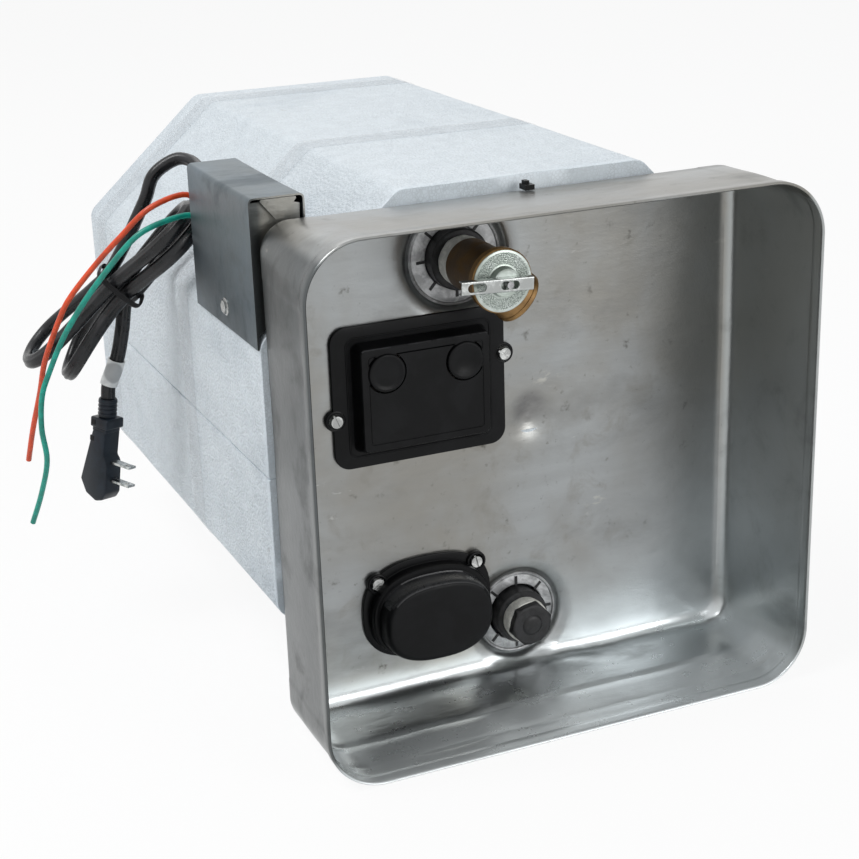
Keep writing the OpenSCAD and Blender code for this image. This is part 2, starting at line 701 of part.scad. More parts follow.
function oval(w, h, y, drop = face_drop, bulge = 3) = ring_at([for (a = [0:10:350])
    let (k = 2 / bulge)
    [w / 2 * sign(cos(a)) * pow(abs(cos(a)), k), h / 2 * sign(sin(a)) * pow(abs(sin(a)), k) - drop]], y);
element_front_y = panel_y - element_proud;
step_y = panel_y - element_step;
step_w = (element_w + element_face_w) / 2;
step_h = (element_h + element_face_h) / 2;
edge_r = 3;
module element_cover() {
    color("#161718") placed() at(element_x, element_z) difference() {
        union() {
            loft([oval(element_w, element_h, flange_y, 0, 2.6), oval(element_w, element_h, panel_y, 0, 2.6)]);
            flange_ears(element_ears);
            loft([oval(step_w - edge_r, step_h - edge_r, step_y, face_drop / 2),
                oval(step_w, step_h, step_y + edge_r, face_drop / 2),
                oval(step_w, step_h, flange_y + fit, face_drop / 2)]);
            loft([oval(element_face_w - edge_r, element_face_h - edge_r, element_front_y),
                oval(element_face_w, element_face_h, element_front_y + edge_r),
                oval(element_face_w, element_face_h, step_y + fit)]);
        }
        loft([oval(element_face_w - 2 * cover_wall, element_face_h - 2 * cover_wall, element_front_y + cover_wall),
            oval(element_face_w - 2 * cover_wall, element_face_h - 2 * cover_wall, panel_y + 1)]);
        ear_holes(element_ears);
        for (e = element_ears) at(e.x, e.y) y_bar(screw_head_d / 2 + run * 2, step_y - 1, flange_y);
    }
}

// Slotted screws that hold the covers
screw_head_h = 2.4;
screw_slot_w = 1.2;
screw_tip = 6;
module slotted_screw() {
    difference() {
        y_cone(screw_head_d / 2 - 0.8, screw_head_d / 2, flange_y - screw_head_h, flange_y);
        rotate([0, 35, 0]) translate([-screw_head_d, flange_y - screw_head_h - 1, -screw_slot_w / 2])
            cube([2 * screw_head_d, 2, screw_slot_w]);
    }
    y_bar(screw_d / 2, flange_y - fit, pan_depth + screw_tip);
}
module element_cover_screws() {
    color("#c0c3c5") placed() for (e = element_ears) at(element_x + e.x, element_z + e.y) slotted_screw();
}
module thermostat_cover_screws() {
    color("#c0c3c5") placed() for (e = thermo_ears) at(thermo_x + e.x, thermo_z + e.y) slotted_screw();
}

// Reset pads, buttons and the two switches on the tank's front head
pad_dome = 1.2;
switch_front_y = thermo_front_y + cover_wall + 6;
button_end_y = switch_front_y + 4;
module reset_pad(s) {
    at(thermo_x + s * pad_gap / 2, thermo_z + pad_up) y_revolve() polygon(concat(
        [for (k = [0:6]) [pad_r * k / 6, thermo_front_y - pad_dome * cos(90 * k / 6)]],
        [[pad_r, thermo_front_y + cover_wall], [0, thermo_front_y + cover_wall]]));
}
module reset_button(s) {
    at(thermo_x + s * pad_gap / 2, thermo_z + pad_up) y_bar(button_d / 2, thermo_front_y + cover_wall, button_end_y);
}
module left_reset_pad() { color("#1c1d1e") placed() reset_pad(-1); }
module right_reset_pad() { color("#1c1d1e") placed() reset_pad(1); }
module left_reset_button() { color("#b02a22") placed() reset_button(-1); }
module right_reset_button() { color("#b02a22") placed() reset_button(1); }
switch_base_t = 6;
switch_base_y = tank_front - switch_base_t;
terminal_tab = [6.4, 2.5, 0.8];
module disc_switch(s) {
    at(thermo_x + s * pad_gap / 2, thermo_z + pad_up) difference() {
        union() {
            y_bar(switch_d / 2, switch_front_y, switch_base_y + fit);
            y_bar(switch_base_d / 2, switch_base_y, tank_front);
            for (t = [-1, 1]) translate([-terminal_tab.x / 2, switch_front_y - terminal_tab.y, t * switch_d / 3])
                cube([terminal_tab.x, terminal_tab.y + 1, terminal_tab.z]);
        }
        y_bar(button_d / 2 + slide_fit, switch_front_y - 1, button_end_y + pad_travel + 1);
    }
}
module thermostat() { color("#3b3027") placed() disc_switch(-1); }
module high_limit_switch() { color("#3b3027") placed() disc_switch(1); }
bracket_t = 1;
bracket_w = pad_gap + switch_base_d + 8;
bracket_h = switch_base_d + 4;
module switch_bracket() {
    color("#a0a3a6") placed() at(thermo_x, thermo_z + pad_up) difference() {
        translate([-bracket_w / 2, switch_base_y - bracket_t, -bracket_h / 2]) cube([bracket_w, switch_base_t + bracket_t, bracket_h]);
        translate([bracket_t - bracket_w / 2, switch_base_y, -bracket_h])
            cube([bracket_w - 2 * bracket_t, switch_base_t + 1, 2 * bracket_h]);
        for (s = [-1, 1]) at(s * pad_gap / 2, 0) y_bar(switch_d / 2 + fit, switch_base_y - 3, switch_base_y + 1);
    }
}

// Wiring box folded from sheet over the jacket's chamfer
box_left = jacket_left - fit - box_sheet;
box_right = box_left + box_w;
box_top = jacket_top + box_rise;
box_low = box_top - box_h;
box_front_y = jacket_front;
box_rear_y = box_front_y + box_l;
function chamfer_z(x) = jacket_top - chamfer_left + (x - jacket_left) * chamfer_left / chamfer_left_w;
box_right_low = chamfer_z(box_right) + 2 * fit;
tab_w = 22;
tab_drop = 13;
box_screw_y = 146;
box_screw_z = box_low + 12.5;
exit_x = box_left + 17.1;
cord_exit = [exit_x, box_top - 10.5];
wire_exit = [exit_x, box_top - 35.5];
sleeve_r = cord_d / 2 + 1;
sleeve_root_r = sleeve_r + 2;
grommet_r = 8;
module wire_box() {
    color("#6f7579") placed() difference() {
        union() {
            y_plate(box_front_y, box_rear_y) polygon([
                [box_left, box_low], [box_left + box_sheet, box_low], [box_left + box_sheet, box_top - box_sheet],
                [box_right - box_sheet, box_top - box_sheet], [box_right - box_sheet, box_right_low],
                [box_right, box_right_low], [box_right, box_top], [box_left, box_top]]);
            y_plate(box_rear_y - box_sheet, box_rear_y) polygon([
                [box_left, box_low + box_sheet * 4], [box_right, box_right_low + box_sheet],
                [box_right, box_top], [box_left, box_top]]);
            y_plate(box_front_y, box_front_y + box_sheet) polygon([
                [box_left + 6, box_top], [box_left + 6 + tab_w / 2, box_top - tab_drop], [box_left + 6 + tab_w, box_top]]);
        }
        at(cord_exit.x, cord_exit.y) y_bar(sleeve_root_r + fit, box_rear_y - 5, box_rear_y + 1);
        at(wire_exit.x, wire_exit.y) y_bar(grommet_r - 2, box_rear_y - 5, box_rear_y + 1);
        translate([box_left - 1, box_screw_y, box_screw_z]) rotate([0, 90, 0]) cylinder(d = screw_d + 2 * fit, h = 4);
        translate([box_left - 1, box_screw_y - 37, box_screw_z - 6]) cube([4, 2.4, 7]);
    }
}
box_screw_head = 2.2;
module wire_box_screw() {
    color("#b7babc") placed() translate([box_left, box_screw_y, box_screw_z]) rotate([0, 90, 0]) {
        translate([0, 0, -box_screw_head]) cylinder(d = screw_head_d, h = box_screw_head, $fn = 6);
        translate([0, 0, -0.5]) cylinder(d = screw_head_d + 2, h = 0.5);
        translate([0, 0, -fit]) cylinder(d = screw_d, h = 8);
    }
}
sleeve_end_y = box_rear_y + sleeve_l;
module cord_strain_relief() {
    color("#161617") placed() at(cord_exit.x, cord_exit.y) {
        y_bar(sleeve_root_r, box_rear_y - box_sheet - 2, box_rear_y + fit);
        y_bar(sleeve_root_r + 2, box_rear_y, box_rear_y + 3);
        y_cone(sleeve_root_r, sleeve_r, box_rear_y + 2, sleeve_end_y);
    }
}
module wire_grommet() {
    color("#161617") placed() at(wire_exit.x, wire_exit.y) {
        y_bar(grommet_r, box_rear_y, box_rear_y + 3);
        y_bar(grommet_r - 2 - fit, box_rear_y - box_sheet - 2, box_rear_y + fit);
    }
}

// Mains cord: it leaves its sleeve, is folded into a hank tied at its waist, and hangs down to its plug
waist = [-192, 262, 83];
hank_dir = unit([-48, 30, -54]);
hank_open = unit(cross(cross(hank_dir, [40, 90, 15]), hank_dir));
hank_side = cross(hank_dir, hank_open);
fold_l = [80, 70, 70, 68];
fold_r = 20;
pinch = cord_d / 2 + 0.6;
climb = cord_d + 0.9;
fan = 1.9;
fan_shift = 0.7;
function fold_point(k, l) =
    let (a = l - fold_r, run_k = min(k, 14 - k) / 4, side = k <= 7 ? 1 : -1)
    run_k <= 1
        ? [a * run_k, side * (pinch + (fold_r - pinch) * (3 - 2 * run_k) * run_k * run_k)]
        : [a + fold_r * sin(30 * (k - 4)), fold_r * cos(30 * (k - 4))];
function hank_point(j, k) =
    let (p = fold_point(k, fold_l[j]), way = j % 2 == 0 ? 1 : -1, turns = (j + k / 14) / 2 - 1)
    let (spread = way > 0 ? pow(p.x / fold_l[j], 2) * (fan * turns + fan_shift) : 0)
    waist + way * p.x * hank_dir + way * p.y * hank_open + climb * (turns + spread) * hank_side;
hank_loops = [for (j = [0:3], k = [0:13]) hank_point(j, k), hank_point(3, 14)];
exit_run = [
    [cord_exit.x, sleeve_end_y, cord_exit.y], [cord_exit.x, sleeve_end_y + cord_d, cord_exit.y],
    [-143, 249, 160], [-149, 256, 161], [-158, 259, 157], [-166, 260, 150], [-171, 260, 138], [-178, 261, 125],
    [-187, 264, 108]
];
hank_route = concat(smooth(concat(exit_run, [hank_loops[0]]), 2), [for (k = [1:len(hank_loops) - 1]) hank_loops[k]]);
hank_end = hank_route[len(hank_route) - 1];
hank_tube = tube_rings(hank_route, cord_d / 2, 8, hank_side, [0, 1, 0], hank_dir);
hank_gap = min([for (i = [0:len(hank_tube) - 1], j = [i + 6:1:len(hank_tube) - 1], p = hank_tube[i], q = hank_tube[j]) norm(p - q)]);
echo(hank_least_gap = hank_gap);
module cord_hank() { color("#17181a") placed() loft(hank_tube); }

// Twist tie round the waist of the hank
tie_w = 4;
tie_t = 1;
tie_reach = climb + cord_d / 2 + 1;
tie_high = pinch + cord_d / 2 + 1;
module cord_tie() {
    color("#0f0f10") placed() multmatrix([
        [hank_open.x, hank_side.x, hank_dir.x, waist.x],
        [hank_open.y, hank_side.y, hank_dir.y, waist.y],
        [hank_open.z, hank_side.z, hank_dir.z, waist.z]])
        translate([0, 0, -tie_w / 2]) linear_extrude(tie_w) difference() {
            square([2 * (tie_high + tie_t), 2 * (tie_reach + tie_t)], center = true);
            square([2 * tie_high, 2 * tie_reach], center = true);
        }
}

// Hanging lead, its blank tag and the right-angled plug
plug_top = [-203.5, 279, 4];
plug_tilt = 8;
plug_dir = [-sin(plug_tilt), 0, -cos(plug_tilt)];
lead_route = concat([hank_end, hank_end + cord_d * hank_dir],
    [[-191, 272, 53], [-194, 275, 37], [-198, 277, 24], plug_top - cord_d * plug_dir, plug_top]);
module cord_lead() {
    color("#17181a") placed() loft(tube_rings(smooth(lead_route, 3), cord_d / 2, 8, [1, 0, 0], hank_dir, plug_dir));
}
tag_size = [13, 12.6, 19];
tag_middle = [-199, 277.4, 21];
tag_tilt = [10, 18, 0];
module cord_tag() {
    color("#f2f2f0") placed() translate(tag_middle) rotate(tag_tilt) difference() {
        cube(tag_size, center = true);
        translate([0, 0, -tag_size.z]) cylinder(d = cord_d + 1.8, h = 2 * tag_size.z);
    }
}
plug_turn = -60;
plug_sleeve = 12;
plug_collar = 9;
plug_l = 50;
plug_t = 15;
plug_face = plug_w / 3;
plug_back = plug_face - plug_w;
blade_top = -30;
module plug_place() {
    translate(plug_top) rotate([0, plug_tilt, 0]) rotate([0, 0, plug_turn]) translate([0, 0, -plug_sleeve]) children();
}
module plug_body() {
    color("#1a1c20") placed() plug_place() {
        cylinder(d = cord_d + 3, h = plug_sleeve);
        translate([-8, -8, -plug_collar]) cube([16, 16, plug_collar]);
        translate([0, plug_t / 2, -plug_collar]) rotate([90, 0, 0]) linear_extrude(plug_t) polygon([
            [5, 1], [-6, 1], [plug_back, -plug_l + 13], [plug_back + 6, -plug_l + 4], [-1, -plug_l],
            [plug_face - 3, -plug_l + 2], [plug_face, -plug_l + 7], [plug_face, 4 - plug_l / 2], [3, 7 - plug_l / 2]]);
    }
}
module plug_blades() {
    color("#c9cbc8") placed() plug_place()
        for (k = [0:1]) translate([plug_face, 0, blade_top - k * blade_gap]) difference() {
            translate([0, -blade_w / 2, -blade_t / 2]) cube([blade_l, blade_w, blade_t]);
            translate([blade_l - 4, 0, -blade_t]) cylinder(d = 3, h = 2 * blade_t);
        }
}

// Loose wires that leave the same end of the wiring box
grommet_face_y = box_rear_y + 3;
orange_z = wire_exit.y + 3;
green_z = wire_exit.y - 3;
orange_route = [
    [wire_exit.x, grommet_face_y, orange_z], [wire_exit.x, grommet_face_y + wire_d, orange_z], [-146, 221, 139],
    [-157, 224, 145], [-180, 222, 139], [-197, 230, 122], [-210, 240, 106], [-228, 247, 84], [-236, 252, 68],
    [-246, 258, 42], [-250, 265, 20], [-255, 277, -8], [-258, 289, -33]
];
green_route = [
    [wire_exit.x, grommet_face_y, green_z], [wire_exit.x, grommet_face_y + wire_d, green_z], [-146, 219, 130],
    [-158, 219, 133], [-180, 214, 130], [-195, 216, 121], [-215, 232, 93], [-228, 238, 74], [-237, 243, 58],
    [-246, 247, 38], [-252, 249, 22], [-254, 252, 0], [-252, 257, -24], [-256, 268, -50], [-262, 278, -73]
];
module loose_wire(route) { loft(tube_rings(smooth(route, 3), wire_d / 2, 8, [1, 1, 1], [0, 1, 0], [-0.2, 0.4, -0.9])); }
module orange_wire() { color("#e0482a") placed() loose_wire(orange_route); }
module green_wire() { color("#0f8a78") placed() loose_wire(green_route); }

front_pan();
jacket_upper();
jacket_lower();
jacket_tape();
jacket_clip();
tank();
relief_coupling();
drain_coupling();
element_coupling();
hot_outlet();
cold_inlet();
retaining_rings();
thread_tape();
relief_valve_body();
valve_bonnet();
label_plate();
valve_stem();
valve_disc();
relief_spring();
lever_pin();
test_lever();
temperature_probe();
drain_plug();
anode_rod();
heating_element();
element_loop();
element_gasket();
element_terminals();
element_cover();
element_cover_screws();
thermostat_cover();
thermostat_cover_screws();
left_reset_pad();
right_reset_pad();
left_reset_button();
right_reset_button();
thermostat();
high_limit_switch();
switch_bracket();
wire_box();
wire_box_screw();
cord_strain_relief();
wire_grommet();
cord_hank();
cord_tie();
cord_lead();
cord_tag();
plug_body();
plug_blades();
orange_wire();
green_wire();
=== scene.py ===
"""Caravan electric water heater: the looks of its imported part, made round the CAD frame."""

import json
import math

import bmesh
import bpy
from mathutils import Matrix, Vector, noise


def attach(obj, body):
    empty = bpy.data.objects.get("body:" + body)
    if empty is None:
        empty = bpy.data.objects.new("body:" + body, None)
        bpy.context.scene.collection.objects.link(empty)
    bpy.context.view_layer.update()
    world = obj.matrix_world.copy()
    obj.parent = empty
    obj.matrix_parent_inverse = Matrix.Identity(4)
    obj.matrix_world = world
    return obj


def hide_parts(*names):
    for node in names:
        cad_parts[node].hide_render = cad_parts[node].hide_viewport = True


bl_info = {
    "name": "Caravan Water Heater",
    "version": (1, 0, 0),
    "blender": (4, 5, 0),
    "location": "3D View > Sidebar > Heater",
    "description": "Dresses the packed water heater with its sheet metal, foam, covers, valve and cords",
    "category": "Object",
}

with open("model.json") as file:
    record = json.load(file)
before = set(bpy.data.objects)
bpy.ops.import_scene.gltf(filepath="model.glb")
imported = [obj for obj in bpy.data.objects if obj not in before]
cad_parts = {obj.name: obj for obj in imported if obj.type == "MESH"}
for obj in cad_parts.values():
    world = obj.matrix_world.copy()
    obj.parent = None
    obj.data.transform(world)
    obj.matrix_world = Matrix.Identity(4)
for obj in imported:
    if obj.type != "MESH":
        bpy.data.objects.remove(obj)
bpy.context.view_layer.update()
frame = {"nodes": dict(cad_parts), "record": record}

MM = 0.001
PAN_MIDDLE = Vector((0.0, -246.0, 161.0))
SIDEWAYS, BACKWARDS = Vector((-1.0, 0.0, 0.0)), Vector((0.0, 1.0, 0.0))
FULL_SIZE = (1.0, 1.0, 1.0)

# Places on the pan's back panel, in millimetres across and up from its middle.
RELIEF, DRAIN, DIMPLE = (-33.5, 118.5), (3.0, -119.0), (12.0, 12.0)
ELEMENT, WINDOW = (-61.0, -100.0), (-61.0, 60.0)
PANEL_Y = 88.8


def spot(x, y, z):
    """A place in metres, from millimetres across, behind the pan's rim and above the pan's middle."""
    return (Vector((x, y, z)) + PAN_MIDDLE) * MM


class HeaterSizes(bpy.types.PropertyGroup):
    """Sizes of the dressed pieces that a user may change"""

    sheet_wave: bpy.props.FloatProperty(
        name="Sheet Wave", description="Depth of the soft waves in the pan's sheet", default=0.45, min=0.0, max=1.5)
    crease: bpy.props.FloatProperty(
        name="Crease", description="Depth in millimetres of the press lines on the pan's walls",
        default=0.7, min=0.0, max=2.0)
    foam_wave: bpy.props.FloatProperty(
        name="Foam Wave", description="Depth in millimetres of the hollows in the foam",
        default=0.25, min=0.0, max=1.0)
    cord_width: bpy.props.FloatProperty(
        name="Cord Width", description="Width of the mains cord",
        default=0.0095, min=0.008, max=0.0096, unit="LENGTH")
    wire_width: bpy.props.FloatProperty(
        name="Wire Width", description="Diameter of the loose wires",
        default=0.0036, min=0.003, max=0.0044, unit="LENGTH")


def colour(label, words, value):
    """A colour property for one finish."""
    return bpy.props.FloatVectorProperty(
        name=label, description=words, subtype="COLOR", size=3, min=0.0, max=1.0, default=value)


class HeaterColours(bpy.types.PropertyGroup):
    """Colours of the finishes that a user may change"""

    sheet: colour("Sheet", "Bright coated sheet of the pan", (0.308, 0.313, 0.306))
    box: colour("Wiring Box", "Dull coated sheet of the wiring box", (0.138, 0.174, 0.200))
    foam: colour("Foam", "White expanded foam", (0.752, 0.818, 0.868))
    cover: colour("Covers", "Black moulded covers", (0.0062, 0.0065, 0.0072))
    brass: colour("Brass", "Brown lacquered brass", (0.30, 0.17, 0.062))
    orange: colour("Orange Wire", "Orange insulation", (0.72, 0.075, 0.018))
    green: colour("Green Wire", "Green insulation", (0.004, 0.30, 0.225))


class Wiring:
    """Adds nodes to a node tree and joins them."""

    MIX_A, MIX_B, MIX_OUT = 6, 7, 2

    def __init__(self, tree):
        self.tree = tree

    def add(self, kind, inputs=None, **settings):
        node = self.tree.nodes.new(kind)
        for key, value in settings.items():
            setattr(node, key, value)
        for key, value in (inputs or {}).items():
            self.feed(node.inputs[key], value)
        return node

    def feed(self, socket, value):
        if isinstance(value, bpy.types.NodeSocket):
            self.tree.links.new(value, socket)
        else:
            socket.default_value = value

    def sum(self, operation, a, b):
        return self.add("ShaderNodeMath", {0: a, 1: b}, operation=operation).outputs[0]

    def times(self, a, b):
        return self.sum("MULTIPLY", a, b)

    def mix(self, factor, a, b):
        node = self.add("ShaderNodeMix", {0: factor}, data_type="RGBA")
        for index, value in ((self.MIX_A, a), (self.MIX_B, b)):
            self.feed(node.inputs[index], value if isinstance(value, bpy.types.NodeSocket) else (*value, 1.0))
        return node.outputs[self.MIX_OUT]

    def ramp(self, value, low, high, start=0.0, end=1.0):
        inputs = {"Value": value, "From Min": low, "From Max": high, "To Min": start, "To Max": end}
        return self.add("ShaderNodeMapRange", inputs, interpolation_type="SMOOTHSTEP").outputs[0]

    def noise(self, vector, scale, detail=3.0, rough=0.5, bend=0.0):
        inputs = {"Vector": vector, "Scale": scale, "Detail": detail, "Roughness": rough, "Distortion": bend}
        return self.add("ShaderNodeTexNoise", inputs).outputs[0]

    def stretch(self, vector, scale, turn=(0.0, 0.0, 0.0), move=(0.0, 0.0, 0.0)):
        inputs = {"Vector": vector, "Location": move, "Rotation": turn, "Scale": scale}
        return self.add("ShaderNodeMapping", inputs).outputs[0]

    def seen_rays(self):
        """1 for rays that show or mirror the white surroundings, 0 for those that only light the part."""
        path = self.add("ShaderNodeLightPath").outputs
        shown = self.sum("MAXIMUM", path["Is Camera Ray"], path["Is Glossy Ray"])
        return self.sum("MAXIMUM", shown, path["Is Transmission Ray"])


def shader_group(name, numbers, outputs, fill):
    """A shader node group with a vector and named numbers as its inputs, made once."""
    tree = bpy.data.node_groups.get(name)
    if tree is None:
        tree = bpy.data.node_groups.new(name, "ShaderNodeTree")
        face = tree.interface
        face.new_socket("Vector", in_out="INPUT", socket_type="NodeSocketVector")
        for label, value in numbers.items():
            face.new_socket(label, in_out="INPUT", socket_type="NodeSocketFloat").default_value = value
        for label in outputs:
            face.new_socket(label, in_out="OUTPUT", socket_type="NodeSocketFloat")
        fill(Wiring(tree), tree.nodes.new("NodeGroupInput").outputs, tree.nodes.new("NodeGroupOutput").inputs)
    return tree


def fill_mottle(w, given, out):
    """Soft patches as a mask, and a finer height."""
    broad = w.noise(given["Vector"], given["Scale"], 5.0, 0.6, 0.4)
    w.feed(out["Patches"], w.ramp(broad, given["Low"], given["High"]))
    w.feed(out["Fine"], w.noise(given["Vector"], w.times(given["Scale"], 9.0), 4.0, 0.65))


def fill_specks(w, given, out):
    """Small scattered specks and nicks with uneven edges, as a mask."""
    place, scale = given["Vector"], given["Scale"]
    wander = w.add("ShaderNodeTexNoise", {"Vector": place, "Scale": w.times(scale, 4.0)}).outputs["Color"]
    push = w.sum("DIVIDE", 0.9, scale)
    push = w.add("ShaderNodeCombineXYZ", {0: push, 1: push, 2: push}).outputs[0]
    moved = w.add("ShaderNodeVectorMath", {0: wander, 1: push, 2: place}, operation="MULTIPLY_ADD").outputs[0]
    cells = w.add("ShaderNodeTexVoronoi", {"Vector": moved, "Scale": scale, "Randomness": 1.0}).outputs
    near = w.ramp(cells["Distance"], given["Size"], 0.0)
    chosen = w.ramp(w.add("ShaderNodeSeparateColor", {0: cells["Color"]}).outputs[0], given["Share"], 0.0)
    broken = w.ramp(w.noise(place, w.times(scale, 3.0), 2.0), 0.35, 0.6)
    w.feed(out["Specks"], w.times(w.times(near, chosen), broken))


def finish_name(slot):
    """Name of the material that dresses a slot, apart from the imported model's own plain one."""
    return f"{slot}_finish"


class Finish(Wiring):
    """A material under construction, with its shader and its object coordinates."""

    def __init__(self, name, **sockets):
        self.material = bpy.data.materials.new(finish_name(name))
        self.material.use_nodes = True
        super().__init__(self.material.node_tree)
        self.shader = self.tree.nodes["Principled BSDF"]
        for label, value in sockets.items():
            self.shader.inputs[label.replace("_", " ")].default_value = value
        self.place = self.add("ShaderNodeTexCoord").outputs["Object"]

    def group(self, tree, vector, **numbers):
        inputs = {"Vector": vector or self.place, **numbers}
        node = self.add("ShaderNodeGroup", node_tree=tree)
        for label, value in inputs.items():
            self.feed(node.inputs[label], value)
        return node.outputs

    def mottle(self, scale, low=0.4, high=0.65, vector=None):
        tree = shader_group("Mottle", {"Scale": 20.0, "Low": 0.4, "High": 0.65}, ("Patches", "Fine"), fill_mottle)
        return self.group(tree, vector, Scale=scale, Low=low, High=high)

    def specks(self, scale, size, share, vector=None):
        tree = shader_group("Specks", {"Scale": 60.0, "Size": 0.16, "Share": 0.4}, ("Specks",), fill_specks)
        return self.group(tree, vector, Scale=scale, Size=size, Share=share)["Specks"]

    def axes(self):
        return self.add("ShaderNodeSeparateXYZ", {0: self.place}).outputs

    def distance(self, point):
        return self.add("ShaderNodeVectorMath", {0: self.place, 1: point}, operation="DISTANCE").outputs["Value"]

    def paint(self, socket):
        self.feed(self.shader.inputs["Base Color"], socket)

    def polish(self, value, low, high):
        self.feed(self.shader.inputs["Roughness"], self.ramp(value, 0.0, 1.0, low, high))

    def relief(self, height, depth):
        """Adds a bump on top of those that are there."""
        last = self.shader.inputs["Normal"].links
        bump = self.add("ShaderNodeBump", {"Height": height, "Distance": depth, "Strength": 1.0})
        if last:
            self.feed(bump.inputs["Normal"], last[0].from_socket)
        self.feed(self.shader.inputs["Normal"], bump.outputs[0])


def shade(base, factor, tint=(1.0, 1.0, 1.0)):
    """A lighter or darker colour near the base."""
    return tuple(min(1.0, c * factor * t) for c, t in zip(base, tint))


def plain_finish(name, base, rough, metal=0.0, scale=60.0, depth=0.00008, spread=(0.75, 1.2), gloss=0.5):
    """A finish with soft patches of colour and gloss, and a fine texture."""
    f = Finish(name, Metallic=metal, Specular_IOR_Level=gloss)
    m = f.mottle(scale)
    f.paint(f.mix(m["Patches"], shade(base, spread[0]), shade(base, spread[1])))
    f.polish(m["Patches"], *rough)
    f.relief(m["Fine"], depth)
    return f


def pan_zones(f, tone, base, broad, smear):
    """The pan's specks and scuffs, with painted shade and painted light in places. Gives its colour, and the mask of
    its floor.
    """
    x, y, z = f.axes()

    def patchy(mask, low, high, tint):
        return f.mix(mask["Patches"], shade(base, low, tint), shade(base, high, tint))

    tone = f.mix(f.times(f.specks(190.0, 0.3, 0.5), 0.6), tone, shade(base, 0.35, (1.08, 1.0, 0.9)))
    # Painted shade darkens the outside of the left wall, in patches, and the upper right of the panel.
    tone = f.mix(f.ramp(x, -0.148, -0.153, 0.0, 0.88), tone, patchy(smear, 0.3, 0.2, (0.92, 1.0, 1.05)))
    far = f.times(f.ramp(x, 0.045, 0.135, 0.0, 0.62), f.ramp(z, 0.03, 0.10))
    far = f.times(f.times(far, f.ramp(x, 0.149, 0.144)), f.ramp(y, -0.176, -0.166))
    tone = f.mix(far, tone, shade(base, 0.36, (0.97, 1.0, 1.02)))
    # Painted shade lies over the dimple, above its middle, and pale scuffs lie on the whole sheet.
    painted_dimple_shade = f.ramp(f.distance(spot(DIMPLE[0], PANEL_Y, DIMPLE[1] + 7)), 0.014, 0.005, 0.0, 0.5)
    painted_dimple_shade = f.times(painted_dimple_shade, f.ramp(smear["Fine"], 0.3, 0.6, 0.4, 1.0))
    tone = f.mix(painted_dimple_shade, tone, shade(base, 0.4, (1.02, 0.97, 1.03)))
    slant = f.stretch(f.place, (1.0, 1.0, 1.6), (0.0, 0.5, 0.0), (0.02, 0.0, 0.01))
    scuffs = f.times(f.specks(24.0, 0.34, 0.3, slant), f.ramp(smear["Fine"], 0.5, 0.62, 0.0, 0.55))
    tone = f.mix(scuffs, tone, shade(base, 1.7, (1.04, 1.0, 0.92)))
    # Painted light brightens the sheet towards the lower right, in patches, and the right wall inside and out.
    painted_lower_right_light = f.ramp(f.sum("SUBTRACT", x, z), -0.06, 0.08, 0.0, 0.85)
    painted_lower_right_light = f.times(painted_lower_right_light, f.ramp(x, 0.152, 0.144))
    tone = f.mix(painted_lower_right_light, tone, patchy(broad, 1.1, 1.45, (0.96, 1.0, 1.05)))
    tone = f.mix(f.ramp(x, 0.148, 0.152, 0.0, 0.6), tone, patchy(smear, 1.6, 1.2, (0.95, 1.0, 1.03)))
    # Painted light: the floor's colour is paler, in patches and most near the rim, where the sheet is also less
    # metallic.
    floor_mask, cool = f.ramp(z, 0.026, 0.010), (0.96, 1.0, 1.04)
    painted_floor_light = patchy(smear, 2.3, 1.2, cool)
    painted_floor_light = f.mix(f.ramp(y, -0.199, -0.205, 0.0, 0.6), painted_floor_light, shade(base, 2.6, cool))
    near_rim = f.times(floor_mask, f.ramp(y, -0.192, -0.206))
    f.feed(f.shader.inputs["Metallic"], f.ramp(near_rim, 0.0, 1.0, 0.96, 0.5))
    return f.mix(f.times(floor_mask, 0.8), tone, painted_floor_light), floor_mask


def sheet_finish(name, base, rough, dark, stripes, pan=False):
    """Coated sheet steel: brushed grain, smears, stains, specks and soft patches."""
    f = Finish(name, Metallic=1.0)
    broad = f.mottle(7.0, 0.38, 0.68)
    smear = f.mottle(26.0, 0.5, 0.72, f.stretch(f.place, (0.45, 1.0, 1.0), (0.1, 0.15, 0.1)))
    stain = f.mottle(40.0, 0.56, 0.72)
    grain = f.noise(f.stretch(f.place, stripes), 90.0, 4.0, 0.6)
    specks = f.specks(70.0, 0.3, 0.36)
    nicks = f.specks(30.0, 0.14, 0.4, f.stretch(f.place, (1.0, 1.0, 3.0), (0.0, 0.6, 0.2)))
    tone = f.mix(broad["Patches"], shade(base, 0.84, (1.04, 1.0, 0.94)), shade(base, 1.14, (0.97, 1.0, 1.04)))
    tone = f.mix(f.ramp(grain, 0.3, 0.7, 0.0, 0.25), tone, shade(base, 0.72))
    for mask, share, there in ((smear["Patches"], 0.45 if pan else 0.7, shade(base, dark)),
                               (stain["Patches"], 0.4, shade(base, 0.6, (1.06, 1.0, 0.9))),
                               (specks, 0.85, shade(base, 0.2, (1.1, 1.0, 0.85))),
                               (nicks, 0.7, shade(base, 1.6))):
        tone = f.mix(f.times(mask, share), tone, there)
    dull = f.sum("ADD", f.times(smear["Patches"], 0.45), f.times(broad["Fine"], 0.55))
    if pan:
        tone, floor_mask = pan_zones(f, tone, base, broad, smear)
        dull = f.times(dull, f.ramp(floor_mask, 0.0, 1.0, 1.0, 0.4))
    f.paint(tone)
    f.polish(dull, *rough)
    f.relief(grain, 0.00010)
    f.relief(smear["Fine"], 0.00013)
    return f


